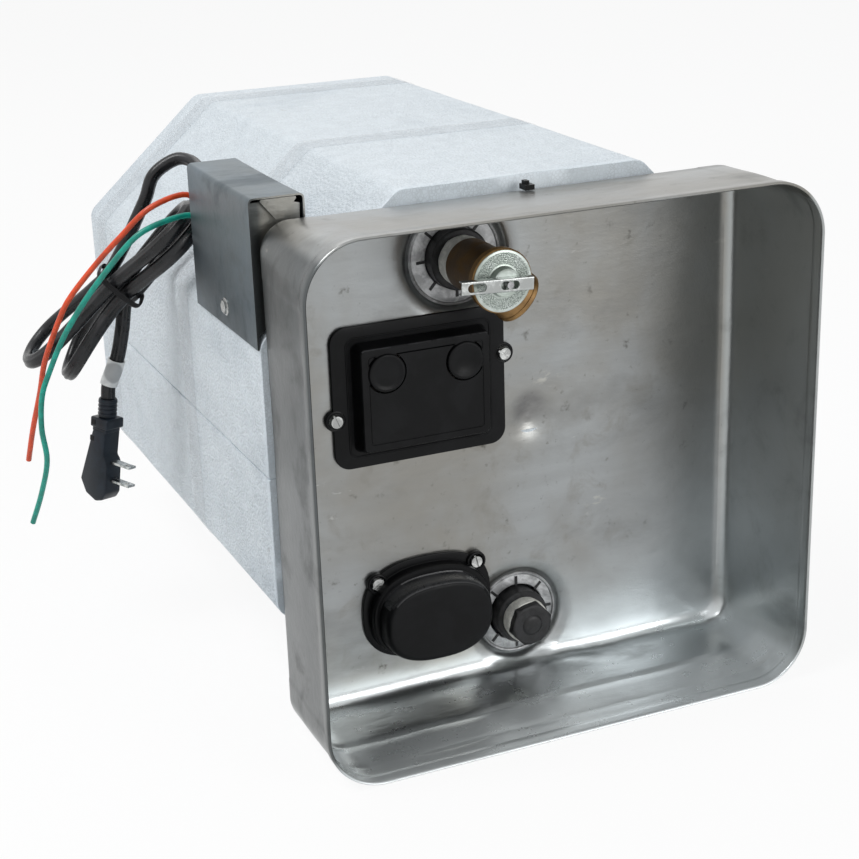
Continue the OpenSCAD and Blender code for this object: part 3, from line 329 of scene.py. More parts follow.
def foam_finish(base):
    """Expanded foam: pressed beads with fine gaps between them and grey handling marks."""
    f = Finish("white_foam")
    cells = {"Vector": f.place, "Scale": 470.0, "Randomness": 0.9}
    beads = f.add("ShaderNodeTexVoronoi", cells).outputs["Distance"]
    gaps = f.add("ShaderNodeTexVoronoi", cells, feature="DISTANCE_TO_EDGE").outputs["Distance"]
    marks = f.mottle(9.0, 0.5, 0.78)
    scuffs = f.mottle(5.0, 0.56, 0.74, f.stretch(f.place, (3.0, 0.5, 1.5), (0.2, 0.1, 0.6)))
    groove = f.times(f.ramp(gaps, 0.2, 0.0, 0.0, 0.45), f.ramp(marks["Fine"], 0.35, 0.6, 0.3, 1.0))
    tone = f.mix(marks["Patches"], base, shade(base, 0.8, (0.97, 1.0, 1.03)))
    tone = f.mix(f.times(scuffs["Patches"], 0.55), tone, shade(base, 0.66, (0.98, 1.0, 1.03)))
    tone = f.mix(groove, tone, shade(base, 0.62))
    f.paint(f.mix(f.times(f.specks(40.0, 0.2, 0.1), 0.7), tone, (0.2, 0.2, 0.2)))
    f.polish(scuffs["Patches"], 0.42, 0.62)
    # The beads stand out behind the front edge, and more towards the base.
    axes = f.axes()
    behind = f.ramp(axes["Y"], -0.1555, -0.150)
    side = f.ramp(axes["Z"], 0.36, 0.0, 0.45, 1.0)
    f.relief(f.times(f.times(behind, side), f.ramp(beads, 0.0, 0.8, 1.0, 0.0)), 0.0012)
    f.relief(f.times(behind, marks["Fine"]), 0.0006)
    return f


def grained_finish(grain, depth, *row):
    """A plain finish with a fine grain over it."""
    f = plain_finish(*row)
    f.relief(f.noise(f.place, *grain), depth)
    return f


def brass_finish(name, base):
    """Brass under brown lacquer, rubbed brighter in patches."""
    f = Finish(name, Metallic=0.55)
    m = f.mottle(55.0, 0.42, 0.7)
    tone = f.mix(m["Patches"], shade(base, 0.75), shade(base, 1.35, (1.0, 1.04, 1.05)))
    f.paint(f.mix(f.times(f.specks(140.0, 0.3, 0.5), 0.5), tone, shade(base, 2.1, (1.0, 1.05, 1.0))))
    f.polish(m["Patches"], 0.4, 0.6)
    f.relief(m["Fine"], 0.00012)
    return f


def label_finish():
    """Thin alloy plate, left blank: fine turned rings and a stippled band."""
    f = Finish("label_alloy", Metallic=0.75)
    middle = spot(RELIEF[0], 28.0, RELIEF[1])
    around = f.stretch(f.place, FULL_SIZE, (math.pi / 2, 0.0, 0.0), (-middle.x, middle.z, -middle.y))
    rings = f.add("ShaderNodeTexWave", {"Vector": around, "Scale": 260.0, "Distortion": 0.6}, wave_type="RINGS",
                  rings_direction="SPHERICAL").outputs[0]
    m = f.mottle(90.0)
    away = f.distance(middle)
    band = f.times(f.ramp(away, 0.0092, 0.0102), f.ramp(away, 0.0166, 0.0158))
    stipple = f.times(band, f.ramp(f.noise(f.place, 1500.0, 2.0), 0.42, 0.6))
    tone = f.mix(m["Patches"], (0.40, 0.45, 0.41), (0.58, 0.63, 0.60))
    f.paint(f.mix(f.times(stipple, 0.8), tone, (0.09, 0.11, 0.10)))
    f.polish(m["Patches"], 0.3, 0.48)
    f.relief(rings, 0.00004)
    f.relief(stipple, -0.0001)
    return f


def tag_finish():
    """White sleeve of the tag with one plain grey oval."""
    f = Finish("white_plastic", Roughness=0.4)
    away = f.add("ShaderNodeVectorMath", {0: f.place, 1: spot(-199.5, 272.0, 22.5)}, operation="SUBTRACT").outputs[0]
    away = f.stretch(away, (150.0, 60.0, 120.0))
    reach = f.add("ShaderNodeVectorMath", {0: away}, operation="LENGTH").outputs["Value"]
    m = f.mottle(160.0)
    tone = f.mix(m["Patches"], (0.80, 0.81, 0.80), (0.66, 0.67, 0.67))
    f.paint(f.mix(f.ramp(reach, 1.0, 0.75, 0.0, 0.75), tone, (0.28, 0.29, 0.30)))
    f.relief(m["Fine"], 0.0002)
    return f


def tape_finish():
    """Clear packing tape: a thin gloss over the foam, a little grey in patches."""
    f = Finish("clear_tape", Roughness=0.16)
    m = f.mottle(30.0, 0.35, 0.7)
    f.paint(f.mix(m["Patches"], (0.62, 0.65, 0.68), (0.78, 0.80, 0.82)))
    f.feed(f.shader.inputs["Alpha"], f.ramp(m["Fine"], 0.3, 0.7, 0.08, 0.16))
    f.relief(m["Fine"], 0.0004)
    return f


# Colour, roughness, metal, size of the patches, depth of the texture, spread of the tone, and gloss.
PLAIN = {
    # A lighter, glossier black for the covers' upward-facing edges and walls; its lighter colour is a painted
    # highlight.
    "cover_edge": ((0.042, 0.043, 0.046), (0.25, 0.4)),
    "tank_steel": ((0.07, 0.075, 0.08), (0.35, 0.55), 0.6, 12.0),
    "black_steel": ((0.016, 0.016, 0.017), (0.36, 0.58), 0.3, 120.0, 0.00018, (0.6, 1.9)),
    "plated_steel": ((0.60, 0.61, 0.60), (0.2, 0.4), 1.0, 160.0, 0.00008, (0.6, 1.15)),
    "ring_steel": ((0.42, 0.425, 0.43), (0.3, 0.5), 0.45, 110.0, 0.0001, (0.6, 1.3)),
    "sealing_tape": ((0.90, 0.89, 0.83), (0.5, 0.7), 0.0, 260.0, 0.0003, (0.85, 1.1)),
    "black_rubber": ((0.011, 0.011, 0.012), (0.42, 0.6), 0.0, 80.0, 0.00006, (0.75, 1.2), 0.2),
    "spring_steel": ((0.42, 0.42, 0.43), (0.25, 0.45), 1.0, 90.0),
    "bright_steel": ((0.56, 0.58, 0.57), (0.16, 0.32), 1.0, 130.0, 0.00006, (0.7, 1.12)),
    "copper_brown": ((0.42, 0.17, 0.075), (0.3, 0.5), 1.0, 70.0),
    "anode_alloy": ((0.40, 0.41, 0.40), (0.5, 0.7), 0.9, 60.0, 0.0003),
    "cream_plastic": ((0.60, 0.53, 0.36), (0.45, 0.6)),
    "red_plastic": ((0.42, 0.02, 0.015), (0.25, 0.4)),
    "brown_plastic": ((0.05, 0.032, 0.022), (0.4, 0.55)),
    "plug_plastic": ((0.011, 0.0165, 0.025), (0.3, 0.46), 0.0, 70.0, 0.00006, (0.75, 1.2), 0.3),
}


def finish(slot):
    """The material for one of the record's slots or another look, made when it is first asked for."""
    made = bpy.data.materials.get(finish_name(slot))
    if made is not None:
        return made
    if slot in PLAIN:
        return plain_finish(slot, *PLAIN[slot]).material
    colours = bpy.context.scene.heater_colours
    c = {label: tuple(getattr(colours, label)) for label in HeaterColours.__annotations__}
    wire = (0.28, 0.42), 0.0, 120.0, 0.00004
    makers = {
        "galvanised_sheet": lambda: sheet_finish(slot, c["sheet"], (0.27, 0.44), 0.62, (0.15, 1.0, 1.0), True),
        "box_sheet": lambda: sheet_finish(slot, c["box"], (0.34, 0.55), 0.5, (1.0, 0.12, 1.0)),
        "white_foam": lambda: foam_finish(c["foam"]),
        "clear_tape": tape_finish,
        "black_plastic": lambda: grained_finish((1400.0, 2.0), 0.00005, slot, c["cover"], (0.3, 0.46), 0.0, 45.0,
                                                0.00004, (0.75, 1.2), 0.14),
        "black_cord": lambda: grained_finish((900.0, 3.0), 0.00004, slot, (0.010, 0.0105, 0.012), (0.24, 0.4), 0.0,
                                             90.0, 0.00005, (0.7, 1.6), 0.4),
        "dull_brass": lambda: brass_finish(slot, c["brass"]),
        "valve_brown": lambda: brass_finish(slot, shade(c["brass"], 0.44, (1.08, 1.0, 0.8))),
        "label_alloy": label_finish,
        "white_plastic": tag_finish,
        "orange_plastic": lambda: plain_finish(slot, c["orange"], *wire, (0.85, 1.15)),
        "green_plastic": lambda: plain_finish(slot, c["green"], *wire, (0.8, 1.2)),
    }
    return makers[slot]().material


def shaded(mesh, crease):
    """Smooth shading, with edges sharper than the crease angle kept."""
    mesh.polygons.foreach_set("use_smooth", [True] * len(mesh.polygons))
    mesh.set_sharp_from_angle(angle=math.radians(crease))
    return mesh


def joined(bm):
    """Merges doubles of a bmesh and turns its faces outwards."""
    bmesh.ops.remove_doubles(bm, verts=bm.verts, dist=1e-7)
    bmesh.ops.recalc_face_normals(bm, faces=bm.faces)


def closed_mesh(name, bm, crease):
    """A mesh from a bmesh, which is freed."""
    joined(bm)
    mesh = bpy.data.meshes.new(name)
    bm.to_mesh(mesh)
    bm.free()
    return shaded(mesh, crease)


def piece(name, shape, slot, *stands_for, body="root", look=None, crease=32.0):
    """A finished piece: its object, its material, the body that it rides on and the nodes that it stands for."""
    mesh = closed_mesh(name, shape, crease) if isinstance(shape, bmesh.types.BMesh) else shape
    obj = bpy.data.objects.new(name, mesh)
    bpy.context.scene.collection.objects.link(obj)
    mesh.materials.clear()
    mesh.materials.append(finish(look or slot))
    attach(obj, body)
    if stands_for:
        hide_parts(*stands_for)
    return obj


def two_tone(obj, look, test):
    """A second finish on the faces whose middles and normals pass the test."""
    obj.data.materials.append(finish(look))
    for face in obj.data.polygons:
        if test(face.center / MM - PAN_MIDDLE, face.normal):
            face.material_index = 1


def skin(bm, rings, start=True, end=True):
    """Faces between closed rows of points with equal counts, with flat ends if asked."""
    rows = [[bm.verts.new(p) for p in ring] for ring in rings]
    count = len(rows[0])
    for a, b in zip(rows, rows[1:]):
        for i in range(count):
            j = (i + 1) % count
            bm.faces.new((a[i], a[j], b[j], b[i]))
    if start:
        bm.faces.new(list(reversed(rows[0])))
    if end:
        bm.faces.new(rows[-1])
    return rows


def softened(bm, width, angle):
    """Rounds the edges of a bmesh that are sharper than the angle."""
    joined(bm)
    edges = [e for e in bm.edges if len(e.link_faces) == 2 and e.calc_face_angle(0.0) > math.radians(angle)]
    bmesh.ops.bevel(bm, geom=edges, offset=width * MM, offset_type="OFFSET", segments=3, profile=0.5, affect="EDGES",
                    clamp_overlap=True)


def vectors(*places):
    """Vectors from pairs or triples of numbers."""
    return [Vector(p) for p in places]


def round_ways(count, start=0.0):
    """Cosines and sines of even steps round a circle."""
    return [(math.cos(a), math.sin(a)) for a in (start + 2 * math.pi * k / count for k in range(count))]


def circle(radius):
    """A round outline."""
    return [Vector((radius * c, radius * s)) for c, s in round_ways(48)]


def oval(w, h, drop, bulge):
    """A squared oval."""
    def swell(half, share):
        return half * math.copysign(abs(share) ** (2 / bulge), share)

    return [Vector((swell(w / 2, c), swell(h / 2, s) - drop)) for c, s in round_ways(72)]


def box_corners(w, h):
    """Corners of a rectangle round the origin."""
    return vectors((-w / 2, -h / 2), (w / 2, -h / 2), (w / 2, h / 2), (-w / 2, h / 2))


def arc_corner(before, corner, after, radius, steps):
    """Points of the rounded corner of a flat outline."""
    d1, d2 = (before - corner).normalized(), (after - corner).normalized()
    half = math.acos(max(-1.0, min(1.0, d1.dot(d2)))) / 2
    middle = corner + (d1 + d2).normalized() * radius / math.sin(half)
    first = corner + d1 * radius / math.tan(half) - middle
    start = math.atan2(first.y, first.x)
    turn = math.pi - 2 * half
    if d1.x * d2.y - d1.y * d2.x > 0:
        turn = -turn
    angles = [start + turn * k / steps for k in range(steps + 1)]
    return [middle + radius * Vector((math.cos(a), math.sin(a))) for a in angles]


def rounded_outline(corners, radius, steps, spacing=None):
    """A closed outline with rounded corners, and flats cut to about the spacing."""
    count = len(corners)
    arcs = [arc_corner(corners[i - 1], corners[i], corners[(i + 1) % count], radius, steps) for i in range(count)]
    points = []
    for i, arc in enumerate(arcs):
        points += arc
        if spacing:
            a, b = arc[-1], arcs[(i + 1) % count][0]
            cuts = max(1, round((b - a).length / spacing))
            points += [a.lerp(b, k / cuts) for k in range(1, cuts)]
    return points


def cut_lines(*stops):
    """Places of grid lines over stretches of start, end and spacing."""
    lines = []
    for start, end, step in stops:
        cuts = max(1, round((end - start) / step))
        lines += [start + (end - start) * k / cuts for k in range(cuts)]
    return [*lines, stops[-1][1]]


def step_up(value, low, high):
    """0 below low, 1 above high, and smooth between them."""
    t = max(0.0, min(1.0, (value - low) / (high - low)))
    return t * t * (3 - 2 * t)


def bell(value, width):
    """1 at zero, falling smoothly to both sides."""
    return math.exp(-(value / width) ** 2)


def smooth_route(points, cuts):
    """A smooth line through the points, cut into even steps of its parameter."""
    p = [points[0], *points, points[-1]]
    line = []
    for a, b, c, d in zip(p, p[1:], p[2:], p[3:]):
        for t in (k / cuts for k in range(cuts)):
            square, cube = (2 * a - 5 * b + 4 * c - d) * t * t, (3 * b - a - 3 * c + d) * t ** 3
            line.append(0.5 * (2 * b + (c - a) * t + square + cube))
    return [*line, points[-1]]


def heading(line, k):
    """Direction of a line of points at one of them."""
    return (line[min(k + 1, len(line) - 1)] - line[max(k - 1, 0)]).normalized()


def tube(bm, line, section, side):
    """A tube of the section along a line, carried along without twist, with flat ends."""
    rings = []
    for k, p in enumerate(line):
        ahead = heading(line, k)
        side = (side - ahead * side.dot(ahead)).normalized()
        other = ahead.cross(side)
        rings.append([p + side * a + other * b for a, b in section])
    skin(bm, rings)


def revolve(bm, profile, origin, axis=BACKWARDS, sides=56, loop=False, lump=0.0):
    """Turns a profile of radius and distance, in millimetres, about an axis through the origin."""
    u = axis.orthogonal().normalized()
    v = axis.cross(u)
    rings = []
    for r, d in profile:
        ring = []
        for c, s in round_ways(sides):
            rough = lump * noise.noise(Vector((3 * c, 3 * s, d * 0.8))) if lump else 0.0
            ring.append(spot(*(origin + axis * d + (c * u + s * v) * (r + rough))))
        rings.append(ring)
    skin(bm, rings + rings[:1] if loop else rings, start=False, end=False)


def at(place, dx=0.0, dz=0.0):
    """Origin of an axis along Y through a place on the panel."""
    return Vector((place[0] + dx, 0.0, place[1] + dz))


def panel_ring(outline, place, y):
    """A flat outline set at a place on the panel, at a depth."""
    return [spot(place[0] + p.x, y, place[1] + p.y) for p in outline]


def fill_between(bm, *loops):
    """A flat face between an outline and the holes in it."""
    edges = [bm.edges.get((loop[k], loop[(k + 1) % len(loop)])) for loop in loops for k in range(len(loop))]
    bmesh.ops.triangle_fill(bm, edges=edges, use_beauty=True)


def plate(bm, outline, holes, front, back, place=(0.0, 0.0)):
    """A flat plate across Y with holes through it."""
    rows = [skin(bm, [panel_ring(o, place, front), panel_ring(o, place, back)], start=False, end=False)
            for o in (outline, *holes)]
    for side in (0, 1):
        fill_between(bm, *[r[side] for r in rows])


class Scatter(Wiring):
    """A geometry node tree that puts one small shape on each point of a mesh, with named sizes."""

    def __init__(self, name, **sizes):
        super().__init__(bpy.data.node_groups.new(name, "GeometryNodeTree"))
        face = self.tree.interface
        for way in ("OUTPUT", "INPUT"):
            face.new_socket("Geometry", in_out=way, socket_type="NodeSocketGeometry")
        self.values = {}
        for label, value in sizes.items():
            socket = face.new_socket(label, in_out="INPUT", socket_type="NodeSocketFloat")
            socket.default_value = value
            self.values[socket.identifier] = value
        self.finish_id = face.new_socket("Finish", in_out="INPUT", socket_type="NodeSocketMaterial").identifier
        self.given = self.add("NodeGroupInput").outputs

    def vector(self, x, y, z):
        return self.add("ShaderNodeCombineXYZ", {"X": x, "Y": y, "Z": z}).outputs[0]

    def box(self, x, y, z):
        return self.add("GeometryNodeMeshCube", {"Size": self.vector(x, y, z)}).outputs["Mesh"]

    def moved(self, shape, **change):
        return self.add("GeometryNodeTransform", {"Geometry": shape, **change}).outputs[0]

    def end(self, shape):
        """Puts the shape on the points, turned and sized as each point says."""
        turn, size = (self.add("GeometryNodeInputNamedAttribute", {"Name": label}, data_type="FLOAT_VECTOR")
                      for label in ("turn", "size"))
        inputs = {"Points": self.given["Geometry"], "Instance": shape, "Rotation": turn.outputs["Attribute"],
                  "Scale": size.outputs["Attribute"]}
        spread = self.add("GeometryNodeInstanceOnPoints", inputs).outputs[0]
        real = self.add("GeometryNodeRealizeInstances", {"Geometry": spread}).outputs[0]
        dressed = self.add("GeometryNodeSetMaterial", {"Geometry": real, "Material": self.given["Finish"]}).outputs[0]
        self.feed(self.add("NodeGroupOutput").inputs[0], dressed)

    def bake(self, name, points, look):
        """The plain mesh of the tree on points of place, turn and size."""
        seed = bpy.data.meshes.new(name + "_points")
        seed.from_pydata([p[0] for p in points], [], [])
        for label, column in (("turn", 1), ("size", 2)):
            layer = seed.attributes.new(label, "FLOAT_VECTOR", "POINT")
            for item, point in zip(layer.data, points):
                item.vector = point[column]
        holder = bpy.data.objects.new(name + "_points", seed)
        bpy.context.scene.collection.objects.link(holder)
        nodes = holder.modifiers.new("nodes", "NODES")
        nodes.node_group = self.tree
        for identifier, value in {**self.values, self.finish_id: finish(look)}.items():
            nodes[identifier] = value
        mesh = bpy.data.meshes.new_from_object(holder.evaluated_get(bpy.context.evaluated_depsgraph_get()))
        bpy.data.objects.remove(holder)
        if not mesh.polygons:
            raise RuntimeError(f"{name}: the node tree gave no faces")
        mesh.name = name
        return shaded(mesh, 30.0)


class Step:
    """What each operator shares: it makes its pieces and says that it is done."""

    def execute(self, context):
        self.make(context.scene)
        return {"FINISHED"}


CORD = 9.5
WAIST = Vector((-192.0, 262.0, 83.0))
HANK_WAY = Vector((-48.0, 30.0, -54.0)).normalized()
HANK_OPEN = HANK_WAY.cross(Vector((40.0, 90.0, 15.0))).cross(HANK_WAY).normalized()
HANK_SIDE = HANK_WAY.cross(HANK_OPEN)
FOLDS = (80.0, 70.0, 70.0, 68.0)
FOLD_STEPS, RUN_STEPS, TURN_STEP = 14, 4, 30
FOLD_R, PINCH, CLIMB, FAN, FAN_SHIFT = 20.0, CORD / 2 + 0.6, CORD + 0.9, 1.4, 0.7
CORD_EXIT = Vector((-141.0, 228.3, 157.0))
CORD_START = ((-143, 249, 160), (-149, 256, 161), (-158, 259, 157), (-166, 260, 150), (-171, 260, 138),
              (-178, 261, 125), (-187, 264, 108))
CORD_HANG = ((-191, 272, 53), (-194, 275, 37), (-198, 277, 24))
PLUG_TOP = Vector((-203.5, 279.0, 4.0))
PLUG_TILT, PLUG_TURN = math.radians(8.0), math.radians(-60.0)
PLUG_WAY = Vector((-math.sin(PLUG_TILT), 0.0, -math.cos(PLUG_TILT)))
PLUG_PLACE = (Matrix.Translation(PLUG_TOP) @ Matrix.Rotation(PLUG_TILT, 4, "Y") @ Matrix.Rotation(PLUG_TURN, 4, "Z")
              @ Matrix.Translation((0, 0, -12)))


def hank_point(fold, k):
    """One of the points of a fold of the tied cord."""
    run, side = min(k, FOLD_STEPS - k) / RUN_STEPS, 1 if k <= FOLD_STEPS // 2 else -1
    reach = FOLDS[fold] - FOLD_R
    if run <= 1:
        along, across = reach * run, side * (PINCH + (FOLD_R - PINCH) * (3 - 2 * run) * run * run)
    else:
        turn = math.radians(TURN_STEP * (k - RUN_STEPS))
        along, across = reach + FOLD_R * math.sin(turn), FOLD_R * math.cos(turn)
    way = 1 if fold % 2 == 0 else -1
    turns = (fold + k / FOLD_STEPS) / 2 - 1
    spread = (along / FOLDS[fold]) ** 2 * (FAN * turns + FAN_SHIFT) if way > 0 else 0.0
    return WAIST + way * along * HANK_WAY + way * across * HANK_OPEN + CLIMB * (turns + spread) * HANK_SIDE


def cord_route():
    """The mains cord from its sleeve, through the tied folds, down to its plug."""
    leave = [CORD_EXIT, CORD_EXIT + Vector((0, CORD, 0)), *vectors(*CORD_START)]
    folds = [hank_point(j, k) for j in range(len(FOLDS)) for k in range(FOLD_STEPS)]
    folds.append(hank_point(len(FOLDS) - 1, FOLD_STEPS))
    hang = [folds[-1] + CORD * HANK_WAY, *vectors(*CORD_HANG), PLUG_TOP - CORD * PLUG_WAY, PLUG_TOP]
    return [spot(*p) for p in smooth_route(leave + folds + hang, 4)]


def cord_section(width):
    """Outline of the flat cord: three cores side by side under one sheath."""
    points = []
    for k in range(32):
        a = 2 * math.pi * k / 32
        groove = sum(bell((a - g + math.pi) % (2 * math.pi) - math.pi, 0.2) for g in (1.15, 1.99, -1.15, -1.99))
        r = width / 2 * (1 - 0.13 * groove)
        points.append((r * math.cos(a), 0.84 * r * math.sin(a)))
    return points


class HEATER_OT_cord(Step, bpy.types.Operator):
    """Make the mains cord that is folded into a hank and hangs down to its plug"""

    bl_idname = "heater.cord"
    bl_label = "Mains Cord"

    def make(self, scene):
        width = scene.heater_sizes.cord_width
        line = cord_route()
        bm = bmesh.new()
        tube(bm, line, cord_section(width), HANK_SIDE)
        cord = piece("mains_cord", bm, "black_cord", "cord_hank", "cord_lead", crease=60.0)


ORANGE = ((-141, 209.3, 135), (-141, 213.3, 135), (-146, 221, 139), (-157, 224, 145), (-180, 222, 139),
          (-197, 230, 122), (-210, 240, 106), (-228, 247, 84), (-236, 252, 68), (-246, 258, 42), (-250, 265, 20),
          (-255, 277, -8), (-258, 289, -33))
GREEN = ((-141, 209.3, 129), (-141, 213.3, 129), (-146, 219, 130), (-158, 219, 133), (-180, 214, 130),
         (-195, 216, 121), (-215, 232, 93), (-228, 238, 74), (-237, 243, 58), (-246, 247, 38), (-252, 249, 22),
         (-254, 252, 0), (-252, 257, -24), (-256, 268, -50), (-262, 278, -73))


class HEATER_OT_wires(Step, bpy.types.Operator):
    """Make the two loose wires that leave the wiring box"""

    bl_idname = "heater.wires"
    bl_label = "Loose Wires"

    def make(self, scene):
        width = scene.heater_sizes.wire_width
        section = [(width / 2 * c, width / 2 * s) for c, s in round_ways(16)]
        for name, route in (("orange", ORANGE), ("green", GREEN)):
            line = [spot(*p) for p in smooth_route(vectors(*route), 6)]
            bm = bmesh.new()
            tube(bm, line, section, Vector((1.0, 1.0, 1.0)))
            wire = piece(f"{name}_lead", bm, f"{name}_plastic", f"{name}_wire", crease=60.0)


PAN_WIDTH, PAN_TAPER, PAN_DEPTH, SHEET, BEND = 322.0, 12.0, 90.0, 1.2, 10
CORNER, CORNER_TAPER = 35.0, 19.0
# Half width and corner radius of the panel where its bends start, on its front and on its back.
PANEL_FRONT, PANEL_BACK = (144.55, 12.2), (145.67, 13.1)
WINDOW_HALF = (38, 13.5)
ROUND_HOLES = ((RELIEF, 20.5), (DRAIN, 20.5), (ELEMENT, 24))


def pan_half(y):
    """Half the pan's outside width at a depth behind its rim."""
    return (PAN_WIDTH - PAN_TAPER * y / PAN_DEPTH) / 2


def pan_corner(y):
    """Radius of the pan's outside corners at a depth behind its rim."""
    return CORNER - CORNER_TAPER * y / PAN_DEPTH


def outline_reach(way, half, corner):
    """Distance from the middle to a rounded square along a direction."""
    c, s = abs(way.x), abs(way.y)
    if min(c, s) / max(c, s) * half <= half - corner:
        return half / max(c, s)
    along = (c + s) * (half - corner)
    return along + math.sqrt(max(0.0, along * along - 2 * (half - corner) ** 2 + corner * corner))


def panel_press(x, z):
    """Depth of the pressings in the pan's back panel."""
    depth = 0.0
    for (cx, cz), r in ((RELIEF, 28.8), (DRAIN, 26.6)):
        d = math.hypot(x - cx, z - cz)
        depth += 3.6 * (1 - step_up(d, r, r + 4.6)) + 2.4 * (1 - step_up(d, r, r + 12.2))
    d = math.hypot(x - DIMPLE[0], z - DIMPLE[1])
    return depth + 3.2 * bell(d, 11.0) - 0.9 * bell(d, 1.8) - 0.25 * bell(d - 18.0, 4.5)


def sheet_wave(x, y, z, depth):
    """Soft unevenness of hand-bent sheet."""
    p = Vector((x, y, z))
    return depth * (noise.noise(p * 0.012) + 0.45 * noise.noise(p * 0.035 + Vector((7, 3, 1))))


def wall_profile():
    """Rows of the wall, from the panel's front round the hem to its back, and how many of them lie inside.

    A row has its depth, half width, corner radius and share of the sheet's waves.
    """
    rows = []
    for a in (83, 76, 71, 67, 63, 59, 55, 50, 43, 34, 24, 12, 0):
        out, back = 1 - math.cos(math.radians(a)), math.sin(math.radians(a))
        rows.append((78.8 + BEND * back, pan_half(78.8) - SHEET - BEND * out, 17.16 - 4.96 * out, 1))
    for y in (74, 66, 58, 50, 47, 45, 43, 41, 36, 30, 25, 22, 20.6, 19.6, 18.6, 17, 13, 10):
        rows.append((y, pan_half(y) - SHEET, pan_corner(y) - SHEET, 1))
    hem = ((9.3, 1.3), (8.7, 1.75), (6, 1.85), (3, 1.85), (1.0, 1.8), (0.3, 1.5), (0, 0.9), (0.3, 0.3), (1.0, 0))
    rows += [(y, pan_half(y) - inset, pan_corner(y) - inset, 0.4) for y, inset in hem]
    inside = len(rows)
    outer = ((4, 0), (8.2, 0), (8.8, 0.1), (9.3, 0.6), (10, 0.75), (16, 0.7), (24, 0.5), (34, 0.3), (45, 0), (56, 0),
             (67, 0), (76, 0), (80, 0))
    rows += [(y, pan_half(y) - inset, pan_corner(y) - inset, 1) for y, inset in outer]
    for a in (15, 30, 45, 60, 75):
        out, back = 1 - math.cos(math.radians(a)), math.sin(math.radians(a))
        rows.append((80 + BEND * back, pan_half(80) - BEND * out, 18.1 - 5.0 * out, 0.5))
    return rows, inside


